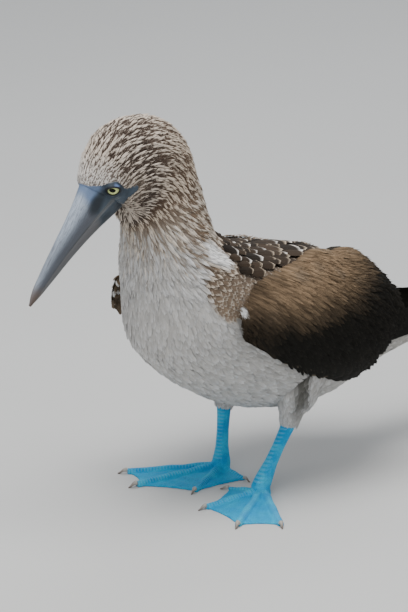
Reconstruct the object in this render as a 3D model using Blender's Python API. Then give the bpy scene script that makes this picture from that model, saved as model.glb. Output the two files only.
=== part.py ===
"""Blue-footed booby, a life-size still model of the standing bird, bill to -Y, its left side to +X.

Sizes are in millimetres and become metres where a mesh is made. While it is being built the bird
stands on z = 0 with y = 0 midway between its feet. At the end everything is moved together, so that
the origin lies on the floor under the middle of the bird's box.
"""

import math

import bmesh
import bpy
import mathutils
import numpy as np

MM = 0.001
GAP = 0.3

# The body's lines, from the bill's root over the head and down the neck to the tail's root. Each
# row is one flat cross-section: top point (y, z) and bottom point (y, z) in the bird's middle
# plane, half width, and the height at which it is widest (0 at the bottom, 1 at the top).
BODY_LINES = (
    (-171, 286, -131, 261, 14.3, 0.42),
    (-170, 294, -128, 257, 19.4, 0.42),
    (-162, 310, -127, 253, 24.0, 0.45),
    (-145, 326, -126, 250, 27.5, 0.47),
    (-119, 332, -126, 249, 29.0, 0.48),
    (-91, 326, -125, 247, 30.0, 0.50),
    (-71, 308, -122, 244, 31.0, 0.50),
    (-62, 281, -119, 238, 33.5, 0.50),
    (-55, 255, -116, 223, 37.5, 0.50),
    (-47, 232, -114, 204, 44.5, 0.50),
    (-22, 212, -112, 176, 55.5, 0.52),
    (15, 202, -107, 135, 63.0, 0.55),
    (56, 193, -70, 99, 64.0, 0.55),
    (99, 179, -9, 68, 59.5, 0.52),
    (131, 152, 62, 59, 46.0, 0.50),
    (162, 124, 125, 74, 28.0, 0.50),
    (198, 107, 180, 85, 19.0, 0.50),
)
HEAD_END, NECK_END, BODY_END = 6.5, 9.4, 16.0

# The bill, along its own axis from the root section to the tip: share of its length, drop of the
# top ridge, mouth line and lower edge below the line from ridge root to tip, half width.
BILL_TIP = (-227, 198.5)
BILL_LINES = (
    (0.00, 0.0, -24.0, -46.0, 14.0),
    (0.10, -0.8, -21.5, -40.5, 12.0),
    (0.25, -0.8, -17.0, -32.5, 9.7),
    (0.50, 0.8, -10.5, -21.5, 6.6),
    (0.75, 2.0, -5.5, -12.5, 4.3),
    (0.92, 1.6, -2.8, -6.0, 2.6),
    (1.00, -0.6, -1.8, -2.6, 0.9),
)

# Eyes: where the left one meets the skin, how far its ball's middle lies in from there, and the
# half width and half height of the oval between the middles of its lids.
EYE_SURFACE = (18.2, -154.5, 282.9)
EYE_RADIUS, EYE_DEPTH = 7.6, 4.95
LID_WIDE, LID_TALL, LID_THICKNESS = 6.1, 4.6, 1.35

# The line of the mouth goes on behind the bill: y, z and half width of its groove.
MOUTH_CORNER = (
    (-153.0, 271.5, 0.7),
    (-150.8, 273.6, 0.7),
    (-149.5, 276.5, 0.7),
    (-147.0, 279.0, 0.5),
)

# The folded wing lies on a surface round the body: at each y its centre height, half width and
# half height, then the angles, down from the back's middle line, of its upper and lower edges,
# and how thick the wing is there.
WING_LINES = (
    (-62, 149, 67.0, 68, 72, 88, 2.5),
    (-54, 148, 70.0, 69, 66, 91, 8.0),
    (-40, 146, 72.5, 70, 55, 97, 11.0),
    (-15, 143, 74.5, 71, 47, 108, 13.0),
    (15, 139, 75.5, 72, 40, 116, 13.0),
    (45, 136, 75.0, 68, 28, 126, 12.0),
    (75, 130, 71.5, 60, 20, 134, 10.0),
    (102, 129, 62.5, 55, 14, 112, 7.0),
    (128, 124, 49.5, 38, 18, 96, 5.0),
    (146, 118, 33.0, 26, 40, 92, 2.5),
)

# The rim that the flight feathers' tips make, as (y, angle) on the wing's surface, from under the
# bend round the rear to the back. The other tiers' tips lie on the same rim, drawn in to a centre.
WING_RIM = (
    (-20, 103),
    (12, 114),
    (45, 125),
    (78, 135),
    (106, 115),
    (132, 96),
    (149, 68),
    (147, 44),
    (130, 24),
)
RIM_CENTRE = (-45.0, 74.0)

# Tiers of the wing: rim's scale, number of vanes, length, half width, lift of the tips.
WING_TIERS = (
    (1.00, 12, 46.0, 11.0, 1.0),
    (0.80, 10, 38.0, 10.5, 2.1),
    (0.60, 8, 32.0, 10.0, 3.1),
)

# Long flight feathers that reach past the rest of the wing, over the tail: the path of their
# middle (y, x, z), then the first one's tip and how much shorter each next one above it is.
QUILL_PATH = (
    (90, 53.0, 118.0),
    (120, 45.0, 117.0),
    (150, 36.0, 115.5),
    (200, 28.0, 111.0),
    (260, 20.5, 106.5),
    (310, 15.5, 104.0),
    (350, 11.5, 102.5),
)
QUILLS, QUILL_TIP, QUILL_STEP, QUILL_RISE = 6, 346.0, 21.0, 2.0

# A vane's half width along its length, as a share of its widest, with its thickness.
VANE_SHAPE = ((0.0, 0.6, 0.9), (0.45, 0.98, 0.9), (0.84, 0.86, 0.7), (1.0, 0.18, 0.5))

# The right wing is held a little out and forward, so its bend shows past the breast.
RIGHT_WING_MOVE = (-5.0, -13.0, -4.0)

TAIL_LINES = (
    (206, 96.5, 19.0, 9.0),
    (222, 95.0, 20.0, 6.0),
    (240, 93.0, 17.0, 3.0),
    (256, 92.0, 10.0, 1.0),
)
TAIL_PAIRS, TAIL_ROOT, TAIL_TIP, TAIL_STEP, TAIL_HEIGHT = 6, 208.0, 366.0, 6.2, 95.5

# Legs: side +1 is the left leg. Each leg's ankle and toe root, and the way its foot points.
LEG_SPREAD = 34.0

# The thigh from inside the torso to the ankle: how far from the middle plane, how far behind the
# ankle, height above it, half width across the bird, half width along it.
THIGH_LINES = (
    (30.0, 14.0, 41.0, 25.0, 27.0),
    (33.0, 6.0, 19.0, 17.0, 20.0),
    (34.0, 2.5, 10.0, 11.0, 13.0),
    (34.0, 0.0, 0.0, 8.0, 9.5),
)

# The shank: how far below the ankle, half width across the bird, half width along it. Its last
# ring, at the root of the toes, is TOE_JOINT wide.
SHANK_LINES = ((0.3, 6.2, 6.4), (8.0, 5.4, 5.8), (22.0, 4.4, 5.6), (36.0, 4.8, 6.0))
TOE_JOINT = (7.0, 7.4)
ANKLE = {1: (21.0, 56.0), -1: (11.0, 58.0)}
TOE_ROOT = {1: (-8.0, 13.0), -1: (8.0, 13.0)}
FOOT_TURN = {1: 33.0, -1: 12.0}

# Toes: angle from the way the foot points (positive is outwards), length, half width.
TOES = {
    "hind": (-98.0, 30.0, 2.6),
    "inner": (-38.0, 58.0, 3.4),
    "middle": (0.0, 80.0, 3.9),
    "outer": (25.0, 78.0, 3.6),
}
CLAW_LENGTH, WEB_THICKNESS = 7.5, 1.5

COLOURS = {
    "head_feathers": ((0.50, 0.42, 0.34), 0.85),
    "body_feathers": ((0.72, 0.70, 0.67), 0.9),
    "wing_feathers": ((0.13, 0.09, 0.06), 0.75),
    "tail_feathers": ((0.30, 0.26, 0.22), 0.8),
    "bill_horn": ((0.38, 0.45, 0.53), 0.45),
    "eye": ((0.62, 0.63, 0.22), 0.1),
    "foot_skin": ((0.05, 0.52, 0.76), 0.5),
    "claw_horn": ((0.45, 0.42, 0.38), 0.5),
}


def clear_scene():
    for obj in list(bpy.data.objects):
        bpy.data.objects.remove(obj)


def material(name):
    found = bpy.data.materials.get(name)
    if found:
        return found
    colour, roughness = COLOURS[name]
    made = bpy.data.materials.new(name)
    made.use_nodes = True
    shader = made.node_tree.nodes["Principled BSDF"]
    shader.inputs["Base Color"].default_value = (*colour, 1.0)
    shader.inputs["Roughness"].default_value = roughness
    shader.inputs["Metallic"].default_value = 0.0
    return made


def follow(knots, rows, at):
    """The row at a place between knots, on a smooth curve through all rows."""
    slopes = np.gradient(rows, knots, axis=0)
    i = int(np.clip(np.searchsorted(knots, at) - 1, 0, len(knots) - 2))
    span = knots[i + 1] - knots[i]
    t = np.clip((at - knots[i]) / span, 0.0, 1.0)
    return (
        (2 * t**3 - 3 * t**2 + 1) * rows[i]
        + (t**3 - 2 * t**2 + t) * span * slopes[i]
        + (3 * t**2 - 2 * t**3) * rows[i + 1]
        + (t**3 - t**2) * span * slopes[i + 1]
    )


def unit(vector):
    return vector / np.linalg.norm(vector)


def make_node(name, points, faces, colour):
    """A named object from points in millimetres, with its faces turned outwards."""
    mesh = bpy.data.meshes.new(name)
    mesh.from_pydata((np.asarray(points) * MM).tolist(), [], faces)
    shape = bmesh.new()
    shape.from_mesh(mesh)
    bmesh.ops.triangulate(shape, faces=[f for f in shape.faces if len(f.verts) > 4])
    bmesh.ops.recalc_face_normals(shape, faces=shape.faces)
    if shape.calc_volume(signed=True) < 0:
        bmesh.ops.reverse_faces(shape, faces=shape.faces)
    shape.to_mesh(mesh)
    shape.free()
    mesh.shade_smooth()
    mesh.set_sharp_from_angle(angle=math.radians(40))
    mesh.materials.append(material(colour))
    obj = bpy.data.objects.new(name, mesh)
    bpy.context.scene.collection.objects.link(obj)
    return obj


def loft(name, rings, colour):
    """A closed solid through rings of equally many points, with flat ends."""
    around = len(rings[0])
    points = np.concatenate(rings)
    faces = [list(range(around)), list(range(len(points) - around, len(points)))]
    for row in range(len(rings) - 1):
        start = row * around
        for k in range(around):
            after = (k + 1) % around
            faces.append((start + k, start + after, start + around + after, start + around + k))
    return make_node(name, points, faces, colour)


def apply_boolean(obj, other, operation):
    """Joins or cuts obj with one object or a collection, and keeps its largest closed surface."""
    modifier = obj.modifiers.new(operation, "BOOLEAN")
    modifier.operation = operation
    modifier.solver = "MANIFOLD"
    if isinstance(other, bpy.types.Collection):
        modifier.operand_type = "COLLECTION"
        modifier.collection = other
    else:
        modifier.object = other
    graph = bpy.context.evaluated_depsgraph_get()
    made = bpy.data.meshes.new_from_object(obj.evaluated_get(graph))
    obj.modifiers.remove(modifier)
    obj.data = made
    keep_largest(obj)


def keep_largest(obj):
    """Drops the loose scraps that a cut leaves."""
    shape = bmesh.new()
    shape.from_mesh(obj.data)
    shape.verts.ensure_lookup_table()
    left, groups = set(shape.verts), []
    while left:
        group, front = set(), [left.pop()]
        while front:
            vert = front.pop()
            group.add(vert)
            near = {edge.other_vert(vert) for edge in vert.link_edges} & left
            left -= near
            front.extend(near)
        groups.append(group)
    groups.sort(key=len, reverse=True)
    scraps = [vert for group in groups[1:] for vert in group]
    bmesh.ops.delete(shape, geom=scraps, context="VERTS")
    shape.to_mesh(obj.data)
    shape.free()


def cut_with(obj, *cutters):
    """Takes the cutters' space out of obj."""
    for cutter in cutters:
        apply_boolean(obj, cutter, "DIFFERENCE")


def remove(*objs):
    for obj in objs:
        bpy.data.objects.remove(obj)


def join_pieces(core, pieces):
    """Fuses pieces into core in one union, then removes them."""
    group = bpy.data.collections.new("pieces")
    bpy.context.scene.collection.children.link(group)
    for piece in pieces:
        group.objects.link(piece)
    apply_boolean(core, group, "UNION")
    remove(*pieces)
    bpy.data.collections.remove(group)


# Body


def body_ring(place, around, grow=0.0):
    """Points round the body's cross-section at a place along BODY_LINES."""
    row = follow(np.arange(len(BODY_LINES)), np.array(BODY_LINES, float), place)
    top, low, wide, wide_at = row[0:2], row[2:4], row[4] + grow, row[5]
    rise = unit(top - low)
    top, low = top + rise * grow, low - rise * grow
    middle = low + (top - low) * wide_at
    ring = []
    for k in range(around):
        angle = 2 * math.pi * k / around
        reach = math.cos(angle)
        y, z = middle + ((top - middle) * reach if reach > 0 else (middle - low) * reach)
        ring.append((wide * math.sin(angle), y, z))
    return np.array(ring)


def flat_way(ring, towards):
    """The direction square to a flat ring, on the side where towards is."""
    way = unit(np.cross(ring[len(ring) // 4] - ring[0], ring[len(ring) // 2] - ring[0]))
    return way if np.dot(towards - ring.mean(0), way) > 0 else -way


def body_part(name, start, end, sections, around, colour, grow=0.0):
    """The stretch of the body from start to end, held back by half a gap where a neighbour is."""
    rings = [body_ring(place, around, grow) for place in np.linspace(start, end, sections)]
    for index, towards in ((0, 1), (-1, -2)):
        inward = flat_way(rings[index], rings[towards].mean(0))
        rings[index] = rings[index] + inward * (GAP / 2 - grow)
    return loft(name, rings, colour)


# Head


def head_axes():
    """The root of the bill's ridge, and the unit directions along the bill and up from it."""
    root = np.array([0.0, *BODY_LINES[0][0:2]])
    tip = np.array([0.0, *BILL_TIP])
    along = unit(tip - root)
    up = np.array([0.0, along[2], -along[1]])
    return root, tip, along, up


def bill_half(name, upper):
    """One half of the bill: above the mouth line a rounded roof, below it a rounded keel."""
    root, tip, along, up = head_axes()
    length = np.linalg.norm(tip - root)
    knots = np.array([row[0] for row in BILL_LINES])
    rows = np.array([row[1:] for row in BILL_LINES])
    shares = (0, 0.05, 0.1, 0.18, 0.28, 0.4, 0.52, 0.64, 0.75, 0.84, 0.92, 0.97, 1.0)
    flat_side = np.linspace(1, -1, 5)[1:-1]
    rings = []
    for share in shares:
        ridge, mouth, keel, wide = follow(knots, rows, share)
        edge, peak = (mouth + GAP / 2, ridge) if upper else (mouth - GAP / 2, keel)
        ring = []
        for k in range(11):
            angle = math.pi * k / 10
            out = math.cos(angle)
            reach = math.sin(angle) ** 1.25
            ring.append((wide * out, edge + (peak - edge) * reach))
        ring.extend((-wide * x, edge) for x in flat_side)
        start = GAP if share == 0 else 0.0
        centre = root + along * (length * share + start)
        rings.append(np.array([centre + up * u + np.array([x, 0, 0]) for x, u in ring]))
    return loft(name, rings, "bill_horn")


def skin_x(y, z):
    """How far the head's skin stands out sideways at a height and place in its middle plane."""
    rings = [body_ring(place, 72)[:37] for place in np.linspace(0, 3, 121)]
    points = np.concatenate(rings)
    return points[np.argmin(np.hypot(points[:, 1] - y, points[:, 2] - z)), 0]


def mouth_groove(side):
    """A thin bent bar that cuts the line of the mouth on into the cheek."""
    stations = []
    for y, z, radius in MOUTH_CORNER:
        stations.append(((side * skin_x(y, z), y, z), radius, radius))
    return tube("groove", stations, "bill_horn", 6)


def eye_axis(side):
    _, _, along, up = head_axes()
    return unit(np.array([side, 0.0, 0.0]) + 0.55 * along + 0.16 * up)


def eye_centre(side):
    x, y, z = EYE_SURFACE
    return np.array([side * x, y, z]) - eye_axis(side) * EYE_DEPTH


def ball(name, centre, radius, colour, rows=12, around=20):
    """A closed ball with poles below and above."""
    points = [centre + (0, 0, -radius)]
    for row in range(1, rows):
        tilt = math.pi * row / rows
        for k in range(around):
            turn = 2 * math.pi * k / around
            direction = (
                math.sin(tilt) * math.cos(turn),
                math.sin(tilt) * math.sin(turn),
                -math.cos(tilt),
            )
            points.append(centre + radius * np.array(direction))
    points.append(centre + (0, 0, radius))
    last = len(points) - 1
    faces = []
    for k in range(around):
        after = (k + 1) % around
        faces.append((0, 1 + after, 1 + k))
        for row in range(rows - 2):
            a = 1 + row * around
            faces.append((a + k, a + after, a + around + after, a + around + k))
        top = 1 + (rows - 2) * around
        faces.append((top + k, top + after, last))
    return make_node(name, points, faces, colour)


def lid_bar(side, around=20, sides=6):
    """A closed bar of the lids' thickness that lies on the eye in an oval, longest forwards."""
    centre, axis = eye_centre(side), eye_axis(side)
    fore = np.array([-0.36 * side, -0.93, 0.11])
    fore = unit(fore - axis * np.dot(fore, axis))
    rise = np.cross(axis, fore)
    points, faces = [], []
    for k in range(around):
        turn = 2 * math.pi * k / around
        flat = fore * LID_WIDE * math.cos(turn) + rise * LID_TALL * math.sin(turn)
        out = unit(flat)
        middle = centre + flat + axis * math.sqrt(EYE_RADIUS**2 - np.dot(flat, flat))
        for j in range(sides):
            roll = 2 * math.pi * j / sides
            bar = (out * math.cos(roll) + axis * math.sin(roll)) * LID_THICKNESS
            points.append(middle + bar)
            a, b = k * sides, ((k + 1) % around) * sides
            after = (j + 1) % sides
            faces.append((a + j, a + after, b + after, b + j))
    return make_node("lids", points, faces, "head_feathers")


def make_head():
    """The head with its lids, eyes and line of the mouth, and the bill."""
    head = body_part("head", 0.0, HEAD_END, 17, 24, "head_feathers")
    for side, word in ((1, "left"), (-1, "right")):
        centre = eye_centre(side)
        join_pieces(head, [lid_bar(side)])
        socket = ball("socket", centre, EYE_RADIUS + GAP, "eye")
        groove = mouth_groove(side)
        cut_with(head, socket, groove)
        remove(socket, groove)
        ball(f"eye_{word}", centre, EYE_RADIUS, "eye")
    bill_half("bill_upper", True)
    bill_half("bill_lower", False)
    return head


# Wings and tail


def on_wing(y, angle, lift=0.0):
    """Point on the folded left wing's outer surface, lift millimetres out of it."""
    lines = np.array(WING_LINES, float)
    height, wide, tall = follow(lines[:, 0], lines[:, 1:4], y)
    turn = math.radians(angle)
    point = np.array([wide * math.sin(turn), y, height + tall * math.cos(turn)])
    out = unit(np.array([tall * math.sin(turn), 0.0, wide * math.cos(turn)]))
    return point + out * lift


def wing_section(y, across=7):
    """A crescent round the side of the body: outer face, then inner face back again."""
    lines = np.array(WING_LINES, float)
    upper, lower, thick = follow(lines[:, 0], lines[:, 4:7], y)
    outer, inner = [], []
    for share in np.linspace(0, 1, across):
        angle = upper + (lower - upper) * share
        swell = math.sin(math.pi * share) ** 0.5 if 0 < share < 1 else 0.0
        outer.append(on_wing(y, angle, -thick * 0.45 * (1 - swell)))
        inner.append(on_wing(y, angle, -thick * (0.55 + 0.45 * swell)))
    return np.array(outer + inner[::-1])


def wing_core(name, sections=15):
    """The body of the wing, under its feathers."""
    rings = [wing_section(y) for y in np.linspace(WING_LINES[0][0], WING_LINES[-1][0], sections)]
    return loft(name, rings, "wing_feathers")


def vane(centres, outs, half_wide, camber, colour):
    """A closed tapered feather vane along its centres, arched a little across."""
    ways = np.gradient(centres, axis=0)
    rings = []
    for centre, out, way, (_, share, thick) in zip(centres, outs, ways, VANE_SHAPE):
        side = unit(np.cross(out, way))
        out = unit(np.cross(way, side))
        wide = side * half_wide * share
        top, rise = out * thick / 2, out * camber * share
        rings.append(
            np.array(
                [
                    centre - wide + top,
                    centre + rise + top,
                    centre + wide + top,
                    centre + wide - top,
                    centre + rise - top,
                    centre - wide - top,
                ]
            )
        )
    return loft("vane", rings, colour)


def wing_vane(tip, way, length, half_wide, lift):
    """A vane on the wing's surface, from under the next tier out to its tip."""
    centres, outs = [], []
    for share, _, _ in VANE_SHAPE:
        y, angle = np.array(tip) - np.array(way) * length * (1 - share)
        height = -2.5 + (lift + 2.5) * share**0.6
        centre = on_wing(y, angle, height)
        centres.append(centre)
        outs.append(on_wing(y, angle, height + 1.0) - centre)
    return vane(np.array(centres), outs, half_wide, 1.0, "wing_feathers")


def wing_tiers():
    """Flight feathers and two tiers of coverts, with their tips in rows along the rim."""
    rim = np.array(WING_RIM, float)
    centre = np.array(RIM_CENTRE)
    vanes = []
    for scale, count, length, half_wide, lift in WING_TIERS:
        for place in np.linspace(0, len(rim) - 1, count):
            tip = centre + (follow(np.arange(len(rim)), rim, place) - centre) * scale
            climb = place / (len(rim) - 1)
            way = (0.72 + 0.22 * climb, 0.62 - 0.36 * climb)
            vanes.append(wing_vane(tip, way, length, half_wide, lift))
    return vanes


def quill_vanes():
    """The long flight feathers, on edge beside the tail, each one above the last and shorter."""
    lines = np.array(QUILL_PATH, float)
    vanes = []
    for rank in range(QUILLS):
        tip = QUILL_TIP - QUILL_STEP * rank
        centres = []
        for share, _, _ in VANE_SHAPE:
            y = lines[0, 0] + (tip - lines[0, 0]) * share
            x, z = follow(lines[:, 0], lines[:, 1:], y)
            spread = (1 - 0.5 * share) * (rank - 1.5)
            centres.append((x + 0.35 * rank, y, z + QUILL_RISE * spread))
        outs = [np.array([1.0, 0.0, 0.15])] * len(VANE_SHAPE)
        vanes.append(vane(np.array(centres), outs, 6.5, 0.8, "wing_feathers"))
    return vanes


def mirrored(obj, name, move):
    """The same piece for the bird's right side, moved a little."""
    mesh = obj.data.copy()
    shape = bmesh.new()
    shape.from_mesh(mesh)
    for vert in shape.verts:
        vert.co.x = -vert.co.x
        vert.co += mathutils.Vector(move) * MM
    bmesh.ops.reverse_faces(shape, faces=shape.faces)
    shape.to_mesh(mesh)
    shape.free()
    other = bpy.data.objects.new(name, mesh)
    bpy.context.scene.collection.objects.link(other)
    return other


def make_wings(torso_space):
    """Both wings, hollowed where the torso is."""
    wing = wing_core("wing_left")
    join_pieces(wing, wing_tiers() + quill_vanes())
    other = mirrored(wing, "wing_right", RIGHT_WING_MOVE)
    cut_with(wing, torso_space)
    cut_with(other, torso_space)


def tail_vanes():
    """Six tail feathers a side in a wedge, the middle pair longest and on top."""
    vanes = []
    for rank in range(TAIL_PAIRS):
        for side in (1, -1):
            spread = rank + 0.5
            tip_y = TAIL_TIP - TAIL_STEP * spread**1.35
            centres = []
            for share, _, _ in VANE_SHAPE:
                x = side * spread * (1.6 + 2.3 * share)
                y = TAIL_ROOT + (tip_y - TAIL_ROOT) * share
                z = TAIL_HEIGHT - 4.0 * share - 0.55 * rank
                centres.append((x, y, z))
            outs = [np.array([0.0, 0.0, 1.0])] * len(VANE_SHAPE)
            vanes.append(vane(np.array(centres), outs, 8.0, 0.6, "tail_feathers"))
    return vanes


def make_tail(around=16):
    """The tail's fleshy root, from the torso's last ring on, with its feathers fused in."""
    root = body_ring(BODY_END, around)
    rings = [root + flat_way(root, root.mean(0) + (0.0, 1.0, 0.0)) * GAP / 2]
    for y, height, wide, thick in TAIL_LINES:
        ring = []
        for k in range(around):
            turn = 2 * math.pi * k / around
            ring.append((wide * math.sin(turn), y, height + thick * math.cos(turn)))
        rings.append(np.array(ring))
    tail = loft("tail", rings, "tail_feathers")
    join_pieces(tail, tail_vanes())


# Legs


def tube(name, stations, colour, around=12, first_way=None, last_way=None):
    """A limb through stations of centre, half width across the bird, half width along it."""
    rings = []
    centres = np.array([row[0] for row in stations], float)
    ways = np.gradient(centres, axis=0)
    if first_way is not None:
        ways[0] = first_way
    if last_way is not None:
        ways[-1] = last_way
    for (centre, across, along), way in zip(stations, ways):
        way = unit(way)
        fore = unit(np.cross(way, (1.0, 0.0, 0.0)))
        side = np.cross(fore, way)
        ring = []
        for k in range(around):
            turn = 2 * math.pi * k / around
            offset = side * across * math.cos(turn) + fore * along * math.sin(turn)
            ring.append(np.array(centre, float) + offset)
        rings.append(np.array(ring))
    return loft(name, rings, colour)


def make_leg(side, word, torso_space):
    ankle = np.array([side * LEG_SPREAD, *ANKLE[side]])
    toe_root = np.array([side * LEG_SPREAD, *TOE_ROOT[side]])
    down = unit(toe_root - ankle)
    stations = [
        ((side * x, ankle[1] + behind, ankle[2] + above), across, along)
        for x, behind, above, across, along in THIGH_LINES
    ]
    thigh = tube(f"thigh_{word}", stations, "body_feathers", 16, last_way=down)
    cut_with(thigh, torso_space)
    stations = [(ankle + down * below, across, along) for below, across, along in SHANK_LINES]
    stations.append((toe_root - down * GAP, *TOE_JOINT))
    tube(f"tarsus_{word}", stations, "foot_skin", first_way=down, last_way=down)
    make_foot(side, word, toe_root, down)


def toe_bar(root, way, length, wide):
    """A toe lying on the floor: flat sole, arched back, knuckles a little thicker."""
    across = np.array([-way[1], way[0], 0.0])
    rings = []
    for share in (0.0, 0.25, 0.4, 0.55, 0.75, 1.0):
        knuckle = 1.12 if share in (0.25, 0.55) else 1.0
        half = wide * (1.15 - 0.4 * share) * knuckle
        tall = (1.5 * (1 - share) ** 2 + 2.0 * wide * (1 - 0.35 * share)) * knuckle
        centre = np.array([root[0], root[1], 0.0]) + way * length * share
        ring = [centre - across * half]
        for k in range(1, 6):
            turn = math.pi * k / 6
            ring.append(
                centre
                - across * half * math.cos(turn)
                + np.array([0, 0, 1.2 + (tall - 1.2) * math.sin(turn)])
            )
        ring.append(centre + across * half)
        rings.append(np.array(ring))
    return loft("toe", rings, "foot_skin")


def toe_ways(side):
    """Unit direction of each toe on the floor."""
    found = {}
    for toe, (angle, _, _) in TOES.items():
        turn = math.radians(-90 + side * (FOOT_TURN[side] + angle))
        found[toe] = np.array([math.cos(turn), math.sin(turn), 0.0])
    return found


def web_plate(root, ways):
    """The web between the toes, with its free edge drawn in a little between the tips."""
    names = list(TOES)
    tips = [root + ways[n] * TOES[n][1] * 0.97 for n in names]
    edge = []
    for a, b in zip(tips[:-1], tips[1:]):
        for share in (0.0, 0.2, 0.4, 0.6, 0.8):
            point = a + (b - a) * share
            draw = 0.045 * math.sin(math.pi * share)
            edge.append(point + (root - point) * draw)
    edge.append(tips[-1])
    behind = -(ways["middle"] + ways["inner"])
    edge.append(root + unit(behind) * 9.0)
    points = []
    for z in (0.0, WEB_THICKNESS):
        points.extend([(x, y, z) for x, y, _ in edge])
    points.append((root[0], root[1], 0.0))
    points.append((root[0], root[1], WEB_THICKNESS + 4.0))
    count = len(edge)
    faces = []
    for k in range(count):
        after = (k + 1) % count
        faces.append((k, after, count + after, count + k))
        faces.append((2 * count, after, k))
        faces.append((2 * count + 1, count + k, count + after))
    return make_node("web", points, faces, "foot_skin")


def make_foot(side, word, toe_root, down):
    """The foot: a boss under the shank, the toes and the web between them, with its claws."""
    floor_root = np.array([toe_root[0], toe_root[1], 0.0])
    ways = toe_ways(side)
    boss = tube(
        "boss",
        (
            (toe_root, *TOE_JOINT),
            (toe_root + down * 5, 7.6, 8.4),
            (floor_root, 6.6, 7.2),
        ),
        "foot_skin",
        first_way=down,
        last_way=(0, 0, -1),
    )
    pieces = [toe_bar(floor_root, ways[n], TOES[n][1], TOES[n][2]) for n in TOES]
    pieces.append(web_plate(floor_root, ways))
    boss.name = f"foot_{word}"
    join_pieces(boss, pieces)
    for toe, (_, length, wide) in TOES.items():
        make_claw(f"claw_{toe}_{word}", floor_root + ways[toe] * (length + GAP), ways[toe], wide)


def make_claw(name, start, way, wide):
    """A claw arched from the toe's end down to the floor."""
    across = np.array([-way[1], way[0], 0.0])
    rings = []
    for share in (0.0, 0.35, 0.7, 1.0):
        half = 0.5 * wide * (1 - 0.85 * share) + 0.2
        centre = start + way * CLAW_LENGTH * share
        height = half + 0.1 + 1.6 * math.sin(math.pi * min(share + 0.25, 1.0))
        ring = []
        for k in range(6):
            turn = 2 * math.pi * k / 6
            ring.append(
                centre
                + across * half * math.cos(turn)
                + np.array([0, 0, height + half * math.sin(turn)])
            )
        rings.append(np.array(ring))
    return loft(name, rings, "claw_horn")


def stand_on_origin():
    """Moves all pieces so that the origin is on the floor, under the middle of the bird's box."""
    bpy.context.view_layer.update()
    objs = [o for o in bpy.data.objects if o.type == "MESH"]
    corners = np.array([v.co for o in objs for v in o.data.vertices])
    low, high = corners.min(0), corners.max(0)
    for obj in objs:
        if obj.data.users > 1:
            obj.data = obj.data.copy()
        for vert in obj.data.vertices:
            vert.co.x -= (low[0] + high[0]) / 2
            vert.co.y -= (low[1] + high[1]) / 2
            vert.co.z -= low[2]


def main():
    clear_scene()
    make_head()
    body_part("neck", HEAD_END, NECK_END, 9, 24, "head_feathers")
    body_part("torso", NECK_END, BODY_END, 19, 28, "body_feathers")
    torso_space = body_part("torso_space", NECK_END, BODY_END, 19, 28, "body_feathers", GAP)
    make_wings(torso_space)
    make_tail()
    for side, word in ((1, "left"), (-1, "right")):
        make_leg(side, word, torso_space)
    remove(torso_space)
    stand_on_origin()


main()
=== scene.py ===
"""Looks of the standing blue-footed booby: skin, coat of feathers, bill, eyes, feet and studio.

Points are worked out in millimetres in the bird's own stance (bill to -Y, left side to +X, floor at
z = 0, y = 0 midway between the feet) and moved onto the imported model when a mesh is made.
"""

import math

import bmesh
import bpy
import numpy as np
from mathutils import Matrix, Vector
from mathutils.bvhtree import BVHTree
from mathutils.kdtree import KDTree


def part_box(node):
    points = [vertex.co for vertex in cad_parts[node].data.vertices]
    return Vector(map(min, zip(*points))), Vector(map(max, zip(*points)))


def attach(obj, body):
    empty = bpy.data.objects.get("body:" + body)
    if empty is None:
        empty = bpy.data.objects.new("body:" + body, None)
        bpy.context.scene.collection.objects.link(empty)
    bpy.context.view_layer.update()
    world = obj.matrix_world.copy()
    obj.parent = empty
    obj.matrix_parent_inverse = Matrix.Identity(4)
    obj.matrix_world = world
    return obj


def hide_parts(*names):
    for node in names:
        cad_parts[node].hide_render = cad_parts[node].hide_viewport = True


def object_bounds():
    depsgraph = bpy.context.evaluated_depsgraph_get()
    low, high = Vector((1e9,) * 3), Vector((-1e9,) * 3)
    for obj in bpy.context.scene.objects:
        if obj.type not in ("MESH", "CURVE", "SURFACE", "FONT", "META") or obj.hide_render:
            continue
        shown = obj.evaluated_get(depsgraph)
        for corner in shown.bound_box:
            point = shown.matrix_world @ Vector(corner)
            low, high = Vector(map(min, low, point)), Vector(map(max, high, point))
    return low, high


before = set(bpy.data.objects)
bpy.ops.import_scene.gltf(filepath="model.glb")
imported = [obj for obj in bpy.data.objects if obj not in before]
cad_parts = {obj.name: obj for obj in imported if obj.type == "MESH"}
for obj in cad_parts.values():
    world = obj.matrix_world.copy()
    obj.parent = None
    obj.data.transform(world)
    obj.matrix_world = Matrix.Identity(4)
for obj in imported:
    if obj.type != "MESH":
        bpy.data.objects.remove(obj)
CAD_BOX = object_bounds()

MM = 0.001

# Cross-sections of the body from the bill's root over the head and down the neck to the tail's
# root: top point (y, z), bottom point (y, z), half width, share of the height at which it is
# widest. A place along the body is a row's number: 0 at the bill, 4 on the crown, 8 on the neck,
# 10 at the shoulders, 13 above the legs, 16 at the tail's root.
BODY_LINES = np.array((
    (-171, 286, -131, 261, 14.3, 0.42),
    (-170, 294, -128, 257, 19.4, 0.42),
    (-162, 310, -127, 253, 24.0, 0.45),
    (-145, 326, -126, 250, 27.5, 0.47),
    (-119, 332, -126, 249, 29.0, 0.48),
    (-91, 326, -125, 247, 30.0, 0.50),
    (-71, 308, -122, 244, 31.0, 0.50),
    (-62, 281, -119, 238, 33.5, 0.50),
    (-55, 255, -116, 223, 37.5, 0.50),
    (-47, 232, -114, 204, 44.5, 0.50),
    (-22, 212, -112, 176, 55.5, 0.52),
    (15, 202, -107, 135, 63.0, 0.55),
    (56, 193, -70, 99, 64.0, 0.55),
    (99, 179, -9, 68, 59.5, 0.52),
    (131, 152, 62, 59, 46.0, 0.50),
    (162, 124, 125, 74, 28.0, 0.50),
    (198, 107, 180, 85, 19.0, 0.50),
), float)
BODY_END = 16.0

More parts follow.
